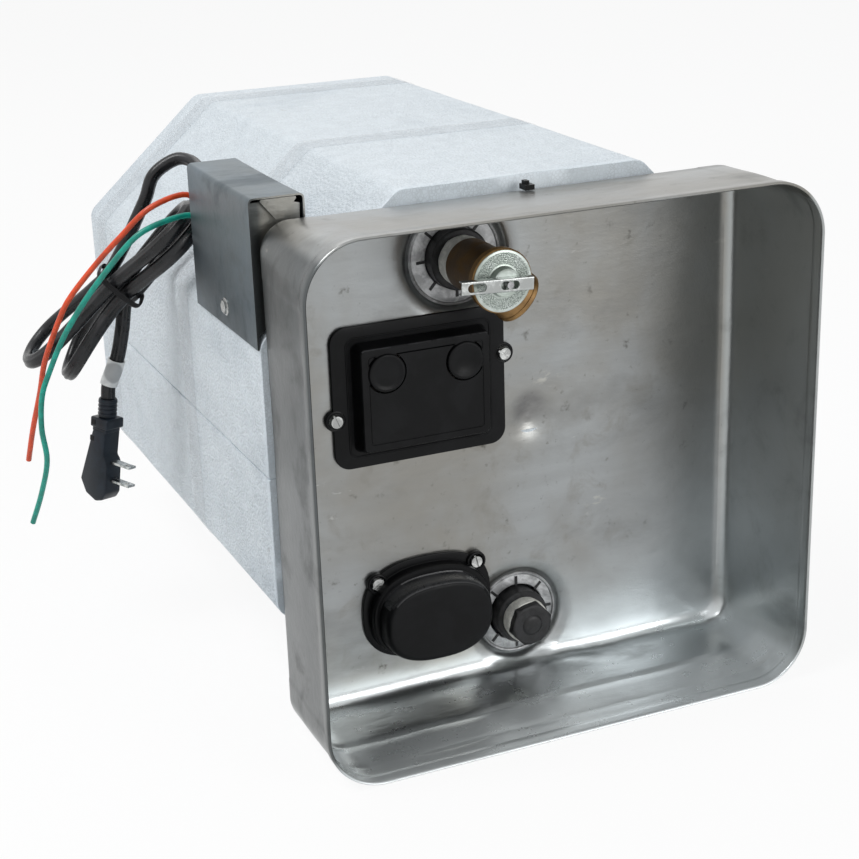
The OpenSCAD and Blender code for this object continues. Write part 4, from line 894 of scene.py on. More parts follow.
class HEATER_OT_pan(Step, bpy.types.Operator):
    """Make the pressed pan with its dishes, bends, creases and folded rim"""

    bl_idname = "heater.pan"
    bl_label = "Front Pan"

    def make(self, scene):
        sizes = scene.heater_sizes
        edge = PANEL_FRONT[0]
        xs = cut_lines((-edge, -112, 1.6), (-112, -66, 3.2), (-66, 36, 1.45), (36, 112, 3.2), (112, edge, 1.6))
        zs = cut_lines((-edge, -86, 1.5), (-86, 0, 3.2), (0, 24, 1.6), (24, 86, 3.2), (86, edge, 1.5))
        bm = bmesh.new()
        wave = sizes.sheet_wave
        front, rear = ([[bm.verts.new(self.panel_point(x, z, *bounds, back, wave)) for x in xs] for z in zs]
                       for bounds, back in ((PANEL_FRONT, 0.0), (PANEL_BACK, SHEET)))
        last_x, last_z = len(xs) - 1, len(zs) - 1
        loop = [(i, 0) for i in range(last_x)] + [(last_x, j) for j in range(last_z)]
        loop += [(i, last_z) for i in range(last_x, 0, -1)] + [(0, j) for j in range(last_z, 0, -1)]
        self.panel(bm, xs, zs, front, rear, loop)
        ways = [Vector((xs[i], zs[j])).normalized() for i, j in loop]
        profile, inside = wall_profile()
        rows = [[front[j][i] for i, j in loop]]
        for k, row in enumerate(profile):
            rows.append([bm.verts.new(self.wall_point(way, *row, k >= inside, sizes)) for way in ways])
        rows.append([rear[j][i] for i, j in loop])
        for a, b in zip(rows, rows[1:]):
            for k in range(len(loop)):
                n = (k + 1) % len(loop)
                bm.faces.new((a[k], a[n], b[n], b[k]))
        piece("pan_sheet", bm, "galvanised_sheet", "front_pan", crease=50.0)

    def panel_point(self, x, z, half, corner, back, wave):
        """A point of the panel's grid, drawn in to its rounded outline and pressed."""
        edge, far = PANEL_FRONT[0], max(abs(x), abs(z))
        x1, z1 = 0.0, 0.0
        if far > 1e-6:
            way = Vector((x, z)).normalized()
            x1, z1 = way * (outline_reach(way, half, corner) * far / edge)
        calm = 1 - step_up(far, edge - 30, edge)
        return spot(x1, PANEL_Y + back + panel_press(x1, z1) + calm * sheet_wave(x1, 0, z1, wave), z1)

    def panel(self, bm, xs, zs, front, rear, loop):
        """The panel's two faces and the walls of the openings through it."""
        def is_open(x, z):
            if abs(x - WINDOW[0]) < WINDOW_HALF[0] and abs(z - WINDOW[1]) < WINDOW_HALF[1]:
                return True
            return any(math.hypot(x - c[0], z - c[1]) < r for c, r in ROUND_HOLES)

        for j in range(len(zs) - 1):
            for i in range(len(xs) - 1):
                if not is_open((xs[i] + xs[i + 1]) / 2, (zs[j] + zs[j + 1]) / 2):
                    for g, way in ((front, 1), (rear, -1)):
                        bm.faces.new([g[j][i], g[j][i + 1], g[j + 1][i + 1], g[j + 1][i]][::way])
        behind = {a: b for a_row, b_row in zip(front, rear) for a, b in zip(a_row, b_row)}
        rim = {front[j][i] for i, j in loop}
        for a, b in [e.verts for e in bm.edges if len(e.link_faces) == 1]:
            if a in behind and b in behind and not (a in rim and b in rim):
                bm.faces.new((a, b, behind[b], behind[a]))
        for v in [v for v in bm.verts if not v.link_faces]:
            bm.verts.remove(v)

    def wall_point(self, way, y, half, corner, slack, outside, sizes):
        """A point of the wall, with the sheet's waves, creases and dents."""
        x, z = way * outline_reach(way, half, corner)
        low = step_up(-z, abs(x), abs(x) + 12)
        push = slack * sheet_wave(x, y, z, sizes.sheet_wave * (1.0 + 1.6 * low)) * step_up(y, 0, 30)
        dip = panel_press(x, z) * step_up(y, 80, 88) if y > 80 else 0.0
        if not outside:
            wander = 2.5 * noise.noise(Vector((x * 0.03, 0, 5)))
            faint = 0.5 + noise.noise(Vector((x * 0.02, 3, 1)))
            creases = 1.3 * bell(y - 44 - 0.4 * wander, 2.0) + faint * bell(y - 19.6 + 0.4 * wander, 1.6)
            push += sizes.crease * low * creases
            push -= 2.2 * low * math.exp(-((x - 36) / 16) ** 2 - ((y - 74) / 12) ** 2)
            push -= 0.9 * low * bell(y - 78, 9) * (0.6 + 0.8 * noise.noise(Vector((x * 0.025, 1, 4))))
            dip += 0.3 * step_up(x, 138, 144) * (1 - step_up(abs(z), 110, 132)) * bell(y - 87.7, 0.4)
        elif min(abs(x), abs(z)) < 124:
            push -= 0.35 * step_up(y, 1, 12)
        return spot(x + way.x * push, y + dip, z + way.y * push)


JACKET_TOP, JACKET_BASE, JACKET_LEFT = 163.0, -161.0, -157.0
JACKET_FRONT, JACKET_REAR, JACKET_ROUND = 90.3, 490.0, 12.0
SEAM, SEAM_GAP = 2.0, 0.25
LEFT_CUT_W, LEFT_CUT_H, RIGHT_CUT = 88.0, 79.0, 67.0
POCKET_DEPTH, PIPE_R, PIPE_LEVEL, PIPE_DEPTH = 24, 14.2, 85.0, 25
TAPE_STARTS, TAPE_WIDTH, TAPE_LOW = (232.0, 440.0), 24, -127.5


def jacket_corners(grow):
    """Corners of the jacket's eight-sided outline, from the lower left corner round."""
    l, r, b, t = JACKET_LEFT - grow, -JACKET_LEFT + grow, JACKET_BASE - grow, JACKET_TOP + grow
    slope = math.hypot(LEFT_CUT_H, LEFT_CUT_W)
    cw = LEFT_CUT_W + grow * (1 + (LEFT_CUT_W - slope) / LEFT_CUT_H)
    ch = LEFT_CUT_H + grow * (1 + (LEFT_CUT_H - slope) / LEFT_CUT_W)
    cr = RIGHT_CUT + grow * (2 - math.sqrt(2))
    return vectors((l + cw, b), (r - cr, b), (r, b + cr), (r, t - cr), (r - cr, t), (l + cw, t), (l, t - ch),
                   (l, b + ch))


def half_outline(grow, upper):
    """One half of the jacket's outline, from one side at the seam to the other."""
    c = jacket_corners(grow)
    chain = c[2:] if upper else [*c[6:], *c[:4]]
    arcs = [arc_corner(chain[i - 1], chain[i], chain[i + 1], JACKET_ROUND + grow, 6) for i in range(1, 5)]
    up = 1.0 if upper else -1.0
    seam = SEAM + up * SEAM_GAP
    inward = -1.0 if chain[0].x > 0 else 1.0

    def seam_edge(corner, inward):
        steps = vectors((inward * 1.2, 0.0), (inward * 0.3, up * 0.5), (0.0, up * 1.6))
        return [Vector((corner.x, seam)) + step for step in steps]

    points = seam_edge(chain[0], inward)
    cuts = 14
    for arc in arcs + [seam_edge(chain[5], -inward)[::-1]]:
        a, b = points[-1], arc[0]
        points += [a.lerp(b, k / cuts) for k in range(1, cuts)] + arc
    return points


class HEATER_OT_jacket(Step, bpy.types.Operator):
    """Make the two halves of the foam jacket and the clear tape round them"""

    bl_idname = "heater.jacket"
    bl_label = "Foam Jacket"

    def make(self, scene):
        for half in ("upper", "lower"):
            self.foam(half, half == "upper", scene.heater_sizes.foam_wave)
        self.tape()

    def foam(self, half, upper, depth):
        """One half of the jacket, with its pocket behind the panel and its opening for a pipe."""
        stations = [(JACKET_FRONT, -0.5), (JACKET_FRONT + 0.5, 0.0)]
        stations += [(y, 0.0) for y in cut_lines((JACKET_FRONT + 8, JACKET_REAR - 8, 8.0))]
        for a in (18, 36, 54, 72, 90):
            t = math.radians(a)
            stations.append((JACKET_REAR - 8 * (1 - math.sin(t)), -8 * (1 - math.cos(t))))
        clear = max if upper else min
        shelf_edge, inset = (SEAM + 2, -11.5) if upper else (SEAM - 2, -9.0)
        shelf = [(p.x, clear(p.y, shelf_edge)) for p in half_outline(inset, upper)]
        rings = [[spot(x, y, z) for x, z in shelf] for y in (JACKET_FRONT + POCKET_DEPTH, JACKET_FRONT)]
        for y, grow in stations:
            ring = []
            for p in half_outline(grow, upper):
                wave = depth * (noise.noise(Vector((p.x, y, p.y)) * 0.03) - 0.6) if grow == 0.0 else -0.6 * depth
                push = 0.0 if p.y < JACKET_BASE + 2 or abs(p.y - SEAM) < 3 else wave
                out = p.normalized()
                ring.append(spot(p.x + out.x * push, y, p.y + out.y * push))
            rings.append(ring)
        bm = bmesh.new()
        rear = skin(bm, rings, start=True, end=False)[-1]
        level = PIPE_LEVEL if upper else -PIPE_LEVEL
        bore = [[spot(PIPE_R * c, y, level + PIPE_R * s) for c, s in round_ways(32)]
                for y in (JACKET_REAR, JACKET_REAR - PIPE_DEPTH)]
        mouth = skin(bm, bore, start=False, end=True)[0]
        fill_between(bm, rear, mouth)
        piece(f"foam_{half}", bm, "white_foam", f"jacket_{half}", crease=40.0)

    def tape(self):
        """Two thin bands over the jacket, open at its base."""
        bm = bmesh.new()
        for start in TAPE_STARTS:
            rows = []
            for grow in (0.18, 0.5):
                line = rounded_outline(jacket_corners(grow), JACKET_ROUND + grow, 6, 8.0)
                begin = min(range(len(line)), key=lambda k: abs(line[k].x) + (0 if line[k].y < -150 else 1e3))
                rows.append([p for p in line[begin:] + line[:begin] if p.y > TAPE_LOW])
            rings = []
            for a, b in zip(*rows):
                corners = ((a, start), (b, start), (b, start + TAPE_WIDTH), (a, start + TAPE_WIDTH))
                rings.append([spot(p.x, y, p.y) for p, y in corners])
            skin(bm, rings)
        piece("tape_bands", bm, "clear_tape", "jacket_tape", crease=40.0)


OUTLET_WAY = Vector((math.cos(math.radians(40.0)), 0.0, -math.sin(math.radians(40.0))))
OUTLET_Y = 56.3

# Radius and depth, in millimetres, of the valve's turned shapes.
VALVE_BODY = ((10.2, 35.0), (14.9, 35.0), (15.5, 35.6), (15.5, 71.2), (14.9, 71.9), (13.0, 72.0), (13.0, 103.8),
              (7.0, 103.8), (7.0, 76.3), (10.2, 76.3))
VALVE_OUTLET = ((0.0, 9.0), (15.6, 9.0), (15.6, 27.6), (16.0, 28.0), (16.0, 30.2), (15.4, 31.0), (12.7, 31.0),
                (12.1, 30.4), (12.1, 17.2), (0.0, 17.2))
VALVE_CAP = ((2.3, 34.9), (2.3, 23.3), (7.8, 23.3), (7.8, 28.9), (17.9, 28.9), (18.5, 29.5), (18.5, 33.9),
             (17.6, 34.9))
BLANK_PLATE = ((2.3, 23.25), (2.3, 23.0), (7.3, 23.0), (8.0, 23.5), (8.3, 26.8), (8.9, 27.8), (9.8, 28.0),
               (16.6, 28.0), (17.2, 28.1), (17.75, 28.4), (17.75, 28.85), (7.85, 28.85), (7.85, 23.25))
RELIEF_WRAP = ((13.1, 72.1), (14.6, 72.2), (15.0, 73.4), (14.7, 77.0), (15.1, 79.6), (14.9, 82.4), (14.4, 83.7),
               (13.1, 83.7))
DRAIN_WRAP = ((13.1, 75.4), (13.8, 75.5), (14.2, 77.6), (14.0, 80.6), (13.8, 84.5), (13.1, 84.5))


class HEATER_OT_valve(Step, bpy.types.Operator):
    """Make the relief valve's body, bonnet and blank plate, and the sealing wrap at both threads"""

    bl_idname = "heater.valve"
    bl_label = "Relief Valve"

    def make(self, scene):
        axis = at(RELIEF)
        bm = bmesh.new()
        revolve(bm, VALVE_BODY, axis, loop=True)
        revolve(bm, VALVE_OUTLET, axis + OUTLET_Y * BACKWARDS, OUTLET_WAY)
        body = piece("valve_casting", bm, "dull_brass", "relief_valve_body", look="valve_brown")
        two_tone(body, "dull_brass", lambda p, n: (p - axis).dot(OUTLET_WAY) > 16.2)
        bm = bmesh.new()
        revolve(bm, VALVE_CAP, axis, loop=True)
        piece("valve_cap", bm, "dull_brass", "valve_bonnet")
        bm = bmesh.new()
        revolve(bm, BLANK_PLATE, axis, sides=72, loop=True)
        piece("blank_plate", bm, "label_alloy", "label_plate")
        bm = bmesh.new()
        revolve(bm, RELIEF_WRAP, axis, loop=True, lump=0.5)
        revolve(bm, DRAIN_WRAP, at(DRAIN), loop=True, lump=0.4)
        piece("thread_wrap", bm, "sealing_tape", "thread_tape", crease=50.0)


LEVER_LEFT, LEVER_RIGHT, LEVER_HALF, LEVER_NIP = -29.4, 14.5, 3.1, 0.25
LEVER_FRONT, LEVER_BACK, LEVER_SLOTS = 18.8, 19.7, (0.0, -20.0)
LEVER_FOLD = ((LEVER_HALF, 22.6), (LEVER_HALF, 18.8), (3.45, 18.85), (3.75, 19.1), (3.85, 19.5), (3.85, 22.6))


class HEATER_OT_lever(Step, bpy.types.Operator):
    """Make the slotted test lever of the relief valve"""

    bl_idname = "heater.lever"
    bl_label = "Test Lever"

    def make(self, scene):
        turn = Matrix.Rotation(math.radians(-3.0), 2)

        def here(points):
            return [turn @ Vector(p) for p in points]

        slot = rounded_outline(box_corners(11.4, 4.8), 2.3, 6)
        slots = [here(p + Vector((middle, 0.0)) for p in slot) for middle in LEVER_SLOTS]
        web = here(((LEVER_LEFT, -LEVER_HALF), (LEVER_RIGHT, -LEVER_HALF), (LEVER_RIGHT, LEVER_HALF),
                    (LEVER_LEFT, LEVER_HALF)))
        bm = bmesh.new()
        plate(bm, web, slots, LEVER_FRONT, LEVER_BACK, RELIEF)
        for side in (-1, 1):
            rings = []
            for x, nip in ((LEVER_LEFT, LEVER_NIP), (-29.0, 0.0), (14.1, 0.0), (LEVER_RIGHT, LEVER_NIP)):
                flange = here((x, side * z) for z, y in LEVER_FOLD)
                rings.append([spot(RELIEF[0] + q.x, y - nip * (y > 22), RELIEF[1] + q.y)
                              for q, (z, y) in zip(flange, LEVER_FOLD)])
            skin(bm, rings)
        piece("test_handle", bm, "bright_steel", "test_lever", body="lever", crease=30.0)


SLIT_R, SLIT_Y, SLITS = 21.4, 93.4, 8
HEX_R, HEX_ROUND, HEX_TURN = 14.9, 1.4, math.radians(12.0)


class HEATER_OT_fittings(Step, bpy.types.Operator):
    """Make the black couplings, the slit rings round them and the drain plug"""

    bl_idname = "heater.fittings"
    bl_label = "Tank Fittings"

    def make(self, scene):
        for name, place, r in (("relief", RELIEF, 18.5), ("drain", DRAIN, 17.4)):
            bm = bmesh.new()
            collar = ((13.05, 103.9), (13.05, 84.6), (13.8, 83.8), (r - 1, 83.8), (r, 84.8), (r, 103.9))
            revolve(bm, collar, at(place), loop=True)
            piece(f"{name}_collar", bm, "black_steel", f"{name}_coupling")
        bm = bmesh.new()
        for place, r in ((RELIEF, 29.5), (DRAIN, 27.3)):
            lip = ((18.8, 93.6), (19.2, 93.3), (r - 3.1, 93.3), (r - 2.5, 93.6), (r - 2.0, 93.6), (r - 1.4, 92.7),
                   (r - 0.7, 92.5), (r - 0.1, 93.1), (r, 94.75), (18.8, 94.75))
            revolve(bm, lip, at(place), sides=72, loop=True)
        piece("slit_rings", bm, "ring_steel", "retaining_rings")
        # Dark steel blocks set into the rings where their slits are: painted shade for the cuts.
        tree = Scatter("Slits", Length=0.0062, Depth=0.0011, Width=0.0017)
        tree.end(tree.box(tree.given["Length"], tree.given["Depth"], tree.given["Width"]))
        points = []
        for place, first in ((RELIEF, 3.0), (DRAIN, 0.0)):
            for k in range(SLITS):
                t = math.radians(first + 360 / SLITS * k)
                where = spot(place[0] + SLIT_R * math.cos(t), SLIT_Y, place[1] + SLIT_R * math.sin(t))
                points.append((where, (0.0, -t, 0.0), FULL_SIZE))
        piece("ring_slits", tree.bake("ring_slits", points, "black_steel"), "black_steel")
        self.plug()

    def plug(self):
        """The drain plug: a chamfered hexagon with a low boss, and its thread."""
        corners = [Vector((HEX_R * c, HEX_R * s)) for c, s in round_ways(6, HEX_TURN)]
        flat = rounded_outline(corners, HEX_ROUND, 4, 3.0)
        rings = [panel_ring([p * share for p in flat], DRAIN, y)
                 for y, share in ((75.3, 0.97), (74.9, 1.0), (72.4, 1.0))]
        for y, reach in ((71.6, 14.0), (70.8, 13.2), (70.3, 12.2)):
            rings.append(panel_ring([p.normalized() * min(p.length, reach) for p in flat], DRAIN, y))
        bm = bmesh.new()
        skin(bm, rings)
        revolve(bm, ((0.0, 71.0), (7.2, 71.0), (6.6, 70.0), (5.6, 69.3), (4.0, 68.9), (0.0, 69.0)), at(DRAIN))
        revolve(bm, ((13.0, 75.0), (13.0, 103.9), (0.0, 103.9), (0.0, 75.0)), at(DRAIN), loop=True)
        piece("drain_nut", bm, "black_steel", "drain_plug", crease=25.0)


THERMOSTAT, ELEMENT_COVER = (-61.0, 44.0), (-61.0, -97.0)
THERMO_EARS, ELEMENT_EARS = ((-54.0, -12.0), (55.0, 13.0)), ((-33.0, 21.0), (33.0, 22.5))
COVER_BACK, COVER_SEAT = 88.7, 86.3
SCREW_Y, THERMO_TURNS, ELEMENT_TURNS = 86.2, (1.2, 0.5), (2.6, 1.35)
PAD_PLACES, PAD_HOLE, PAD_FLOOR, COVER_TOP = ((-86.0, 60.0), (-36.0, 60.0)), 12.5, 78.0, 75.85
PAD_RIM = ((0.0, PAD_FLOOR), (11.6, PAD_FLOOR), (11.6, 75.5), (11.2, 74.9), (10.6, 74.6))
LEFT_PAD = (*PAD_RIM, (9.6, 74.7), (8.8, 75.1), (7.0, 75.2), (0.0, 75.2))
RIGHT_PAD = (*PAD_RIM, (9.4, 74.8), (7.0, 75.6), (4.0, 76.2), (0.0, 76.4))
# Width, height, corner radius and depth of the switches' cover, from its inside round its flange to its face.
SWITCH_STEPS = ((76.6, 57.6, 3.0, PAD_FLOOR), (80.6, 61.6, 3.4, COVER_BACK), (110.4, 86.4, 9.7, 88.75),
                (111, 87, 10, 88.4), (111, 87, 10, 86.9), (110.6, 86.6, 9.8, 86.45), (109.6, 85.6, 9.4, COVER_SEAT),
                (93.0, 74.0, 5.5, COVER_SEAT), (92.2, 73.2, 5.3, 86.0), (91.2, 72.2, 5.0, 86.0),
                (90.4, 71.4, 4.8, COVER_SEAT), (86.2, 67.2, 4.4, 86.4), (85.4, 66.4, 4.2, 86.0),
                (82.4, 63.4, 3.4, 77.6), (81.8, 62.8, 3.2, 76.5), (80.6, 61.6, 2.8, COVER_TOP),
                (79.6, 60.6, 2.6, 75.8), (73.2, 54.2, 2.0, 75.8), (72.8, 53.8, 2.0, 76.1), (72.0, 53.0, 2.0, 76.1),
                (71.6, 52.6, 2.0, COVER_TOP))
# Width, height, drop, squareness and depth of the element's cover, in the same order.
ELEMENT_STEPS = ((66.6, 47.6, 3, 2.5, 67.2), (66.6, 47.6, 3, 2.5, COVER_BACK), (85.4, 65.4, 0, 2.6, 88.75),
                 (86, 66, 0, 2.6, 88.3), (86, 66, 0, 2.6, 87.0), (85.4, 65.4, 0, 2.6, 86.5),
                 (84.4, 64.4, 0, 2.6, COVER_SEAT), (79.6, 60.2, 1.5, 2.35, COVER_SEAT), (78.8, 59.4, 1.5, 2.35, 85.9),
                 (78.5, 59.0, 1.5, 2.35, 81.0), (78.0, 58.5, 1.5, 2.35, 79.6), (76.6, 57.1, 1.6, 2.35, 78.9),
                 (75.0, 55.6, 1.9, 2.35, 78.75), (72.6, 53.4, 2.6, 2.5, 78.75), (71.6, 52.6, 2.9, 2.5, 78.3),
                 (71.0, 52.0, 3.0, 2.5, 77.4), (70.7, 51.7, 3.0, 2.5, 70.0), (70.2, 51.2, 3.0, 2.5, 68.2),
                 (69.0, 50.0, 3.0, 2.5, 66.6), (67.2, 48.2, 3.0, 2.5, 65.5), (65.0, 46.0, 3.0, 2.5, 64.95),
                 (62.6, 43.6, 3.0, 2.5, 64.85), (40.0, 28.0, 3.0, 2.6, 64.85), (14.0, 10.0, 3.0, 2.2, 64.85))


class HEATER_OT_covers(Step, bpy.types.Operator):
    """Make the two black covers, their reset pads and their slotted screws"""

    bl_idname = "heater.covers"
    bl_label = "Covers"

    def make(self, scene):
        self.thermostat()
        self.element()
        for name, place, profile in zip(("left", "right"), PAD_PLACES, (LEFT_PAD, RIGHT_PAD)):
            bm = bmesh.new()
            revolve(bm, profile, at(place))
            piece(f"{name}_pad", bm, "black_plastic", f"{name}_reset_pad", body=f"{name}_reset", crease=50.0)
        self.screws()

    def ears(self, bm, place, ears, front):
        """Round bosses with a sunk seat for each screw."""
        boss = ((0.0, COVER_BACK), (6.3, COVER_BACK), (6.5, 88.3), (6.5, front + 0.8), (6.2, front + 0.2),
                (5.6, front), (5.1, front + 0.1), (4.8, COVER_SEAT), (0.0, COVER_SEAT))
        for x, z in ears:
            revolve(bm, boss, at(place, x, z), sides=32)

    def thermostat(self):
        bm = bmesh.new()
        rings = [panel_ring(rounded_outline(box_corners(w, h), r, 8), THERMOSTAT, y) for w, h, r, y in SWITCH_STEPS]
        rows = skin(bm, rings, start=False, end=False)
        walls = [skin(bm, [panel_ring(circle(PAD_HOLE), place, y) for y in (COVER_TOP, PAD_FLOOR)],
                      start=False, end=False) for place in PAD_PLACES]
        fill_between(bm, rows[-1], *[w[0] for w in walls])
        fill_between(bm, rows[0], *[w[1] for w in walls])
        self.ears(bm, THERMOSTAT, THERMO_EARS, 86.1)
        cover = piece("switch_cover", bm, "black_plastic", "thermostat_cover", crease=26.0)
        # Painted highlight: the top edge of the raised block takes the lighter black.
        two_tone(cover, "cover_edge", lambda p, n: 75.86 < p.y < 76.6 and p.z > THERMOSTAT[1] + 30)

    def element(self):
        bm = bmesh.new()
        skin(bm, [panel_ring(oval(*step), ELEMENT_COVER, y) for *step, y in ELEMENT_STEPS])
        self.ears(bm, ELEMENT_COVER, ELEMENT_EARS, 84.6)
        cover = piece("heater_cover", bm, "black_plastic", "element_cover", crease=26.0)
        # Painted highlight: the upward-facing walls take the lighter black.
        two_tone(cover, "cover_edge", lambda p, n: n.z > 0.5 and 66.0 < p.y < 78.6)

    def screws(self):
        tree = Scatter("Cover Screws", Head=0.0047, Crown=0.0036, Height=0.0022, Slot=0.0011)
        given = tree.given
        sizes = {"Radius Bottom": given["Head"], "Radius Top": given["Crown"], "Depth": given["Height"]}
        cone = tree.add("GeometryNodeMeshCone", {"Vertices": 28, **sizes}).outputs["Mesh"]
        lift = tree.vector(0.0, 0.0, given["Height"])
        slot = tree.moved(tree.box(0.02, given["Slot"], given["Height"]), Translation=lift)
        cut = tree.add("GeometryNodeMeshBoolean", {"Mesh 1": cone, "Mesh 2": slot}, operation="DIFFERENCE").outputs[0]
        tree.end(tree.moved(cut, Rotation=(math.pi / 2, 0.0, 0.0)))
        points = []
        for place, ears, turns in ((THERMOSTAT, THERMO_EARS, THERMO_TURNS),
                                   (ELEMENT_COVER, ELEMENT_EARS, ELEMENT_TURNS)):
            for (x, z), turn in zip(ears, turns):
                points.append((spot(place[0] + x, SCREW_Y, place[1] + z), (0.0, turn, 0.0), FULL_SIZE))
        piece("cover_screws", tree.bake("cover_screws", points, "plated_steel"), "plated_steel",
              "thermostat_cover_screws", "element_cover_screws")


BOX_LEFT, BOX_RIGHT, BOX_LOW, BOX_TOP, BOX_RIGHT_LOW = -158.1, -125.1, 80.5, 167.5, 112.8
BOX_FRONT, BOX_REAR, BOX_ROUND = 90.3, 206.3, 3.0
CORD_HOLE, WIRE_HOLE = (-141.0, 157.0), (-141.0, 132.0)
BOLT = Vector((BOX_LEFT, 146.0, 93.0))
BOLT_SHAPE = ((0.0, -7.5), (1.95, -7.5), (1.95, 0.05), (5.4, 0.05), (5.4, 0.5), (4.7, 0.8), (0.0, 0.8))
SLEEVE_SHAPE = ((4.95, 228.2), (4.95, 203.4), (7.6, 203.4), (7.7, 206.3), (9.5, 206.4), (9.7, 206.9), (9.5, 208.8),
                (8.9, 209.3), (6.9, 209.6), (5.5, 227.8), (5.3, 228.2))


class HEATER_OT_box(Step, bpy.types.Operator):
    """Make the folded wiring box with its end flaps, its screw and the cord's sleeve"""

    bl_idname = "heater.box"
    bl_label = "Wiring Box"

    def make(self, scene):
        bm = bmesh.new()
        self.shell(bm)
        end = vectors((BOX_LEFT + 1.2, BOX_LOW + 4), (BOX_RIGHT - 1.2, BOX_RIGHT_LOW + 1),
                      (BOX_RIGHT - 1.2, BOX_TOP - 1.2), (BOX_LEFT + 1.2, BOX_TOP - 1.2))
        holes = [[p + Vector(place) for p in circle(r)] for r, place in ((7.9, CORD_HOLE), (6.1, WIRE_HOLE))]
        plate(bm, end, holes, BOX_REAR - 1, BOX_REAR)
        tab = vectors((BOX_LEFT + 15.5, BOX_TOP - 13), (BOX_LEFT + 20, BOX_TOP - 13), (BOX_LEFT + 29, BOX_TOP - 1.3),
                      (BOX_LEFT + 6, BOX_TOP - 1.3))
        plate(bm, rounded_outline(tab, 0.8, 3), [], BOX_FRONT, BOX_FRONT + 1)
        flap = vectors((BOX_LEFT + 1.2, BOX_LOW + 6), (BOX_LEFT + 28, BOX_RIGHT_LOW - 2),
                       (BOX_RIGHT - 1.6, BOX_TOP - 6), (BOX_LEFT + 16, BOX_TOP - 2.6),
                       (BOX_LEFT + 1.2, BOX_TOP - 3.4))
        plate(bm, flap, [], BOX_FRONT + 3.2, BOX_FRONT + 4.2)
        box = piece("box_folds", bm, "galvanised_sheet", "wire_box", look="box_sheet", crease=40.0)
        # Painted light: the front tab and flap take the pan's paler sheet finish, as though lit from the front.
        two_tone(box, "galvanised_sheet", lambda p, n: (BOX_LEFT + 1.05 < p.x < BOX_RIGHT - 1.05
                                                        and p.y < BOX_FRONT + 4.3 and p.z < BOX_TOP - 1.1))
        bm = bmesh.new()
        revolve(bm, BOLT_SHAPE, BOLT, SIDEWAYS, 40)
        skin(bm, [[spot(*(BOLT + SIDEWAYS * d + r * Vector((0.0, c, s)))) for c, s in round_ways(6, 0.2)]
                  for d, r in ((0.6, 4.4), (1.9, 4.4), (2.2, 3.8))])
        piece("box_bolt", bm, "plated_steel", "wire_box_screw")
        self.sleeve()

    def shell(self, bm):
        """The sheet folded over the left side, the top and the right side."""
        corners = vectors((BOX_LEFT, BOX_LOW), (BOX_LEFT, BOX_TOP), (BOX_RIGHT, BOX_TOP), (BOX_RIGHT, BOX_RIGHT_LOW))
        left, right = (arc_corner(*three, BOX_ROUND, 6) for three in (corners[:3], corners[1:]))
        path = [corners[0], *left, *right, corners[3]]
        inner = []
        for k, p in enumerate(path):
            way = heading(path, k)
            inner.append(p + Vector((way.y, -way.x)))
        rings = []
        for y in cut_lines((BOX_FRONT, BOX_REAR, 8.0)):
            sag = 0.5 * math.sin(math.pi * (y - BOX_FRONT) / (BOX_REAR - BOX_FRONT))
            rings.append([spot(p.x, y, p.y - sag * step_up(p.y, BOX_TOP - 4, BOX_TOP)) for p in path + inner[::-1]])
        skin(bm, rings)

    def sleeve(self):
        """The cord's ribbed sleeve."""
        tree = Scatter("Sleeve Ribs", Thickness=0.0015)
        tree.end(tree.add("GeometryNodeMeshCylinder", {"Vertices": 36, "Radius": 1.0,
                                                       "Depth": tree.given["Thickness"]}).outputs["Mesh"])
        points = []
        for k in range(6):
            r = (7.5 - 0.3 * k) * MM
            points.append((spot(CORD_HOLE[0], 211.0 + 2.9 * k, CORD_HOLE[1]), (math.pi / 2, 0.0, 0.0), (r, r, 1.0)))
        mesh = tree.bake("cord_sleeve", points, "black_rubber")
        bm = bmesh.new()
        bm.from_mesh(mesh)
        bpy.data.meshes.remove(mesh)
        revolve(bm, SLEEVE_SHAPE, at(CORD_HOLE), sides=40, loop=True)
        piece("cord_sleeve", bm, "black_rubber", "cord_strain_relief")


PLUG_SIDE = ((5.4, -9.4), (-6.4, -9.4), (-16, -46), (-10.5, -55), (-1, -58.8), (5, -57), (8, -52), (8, -31.5),
             (6.6, -28.6), (4.6, -26.6))
PLUG_HALF, POCKET_HALF = 7.4, 1.7
# Left, right, half thickness, low, high and rounding of the blocks under the plug's neck.
PLUG_BLOCKS = ((-7.8, 7.8, 7.8, -7.6, -0.6, 1.2), (-6.6, 5.8, 6.6, -10.4, -6.5, 0.6))
PLUG_RIBS, PLUG_RIB_STEP = 4, 2.7
TAG_MIDDLE, TAG_HALF, TAG_RADII = (-199.0, 277.4, 21.0), 0.0105, (5.15, 5.75)
TIE_STEPS, TIE_OPEN, TIE_SIDE = 96, 11.5, 16.7


def in_plug(x, y, z):
    """A place in the plug's own axes: x towards its blades, z up its cord."""
    return spot(*(PLUG_PLACE @ Vector((x, y, z))))


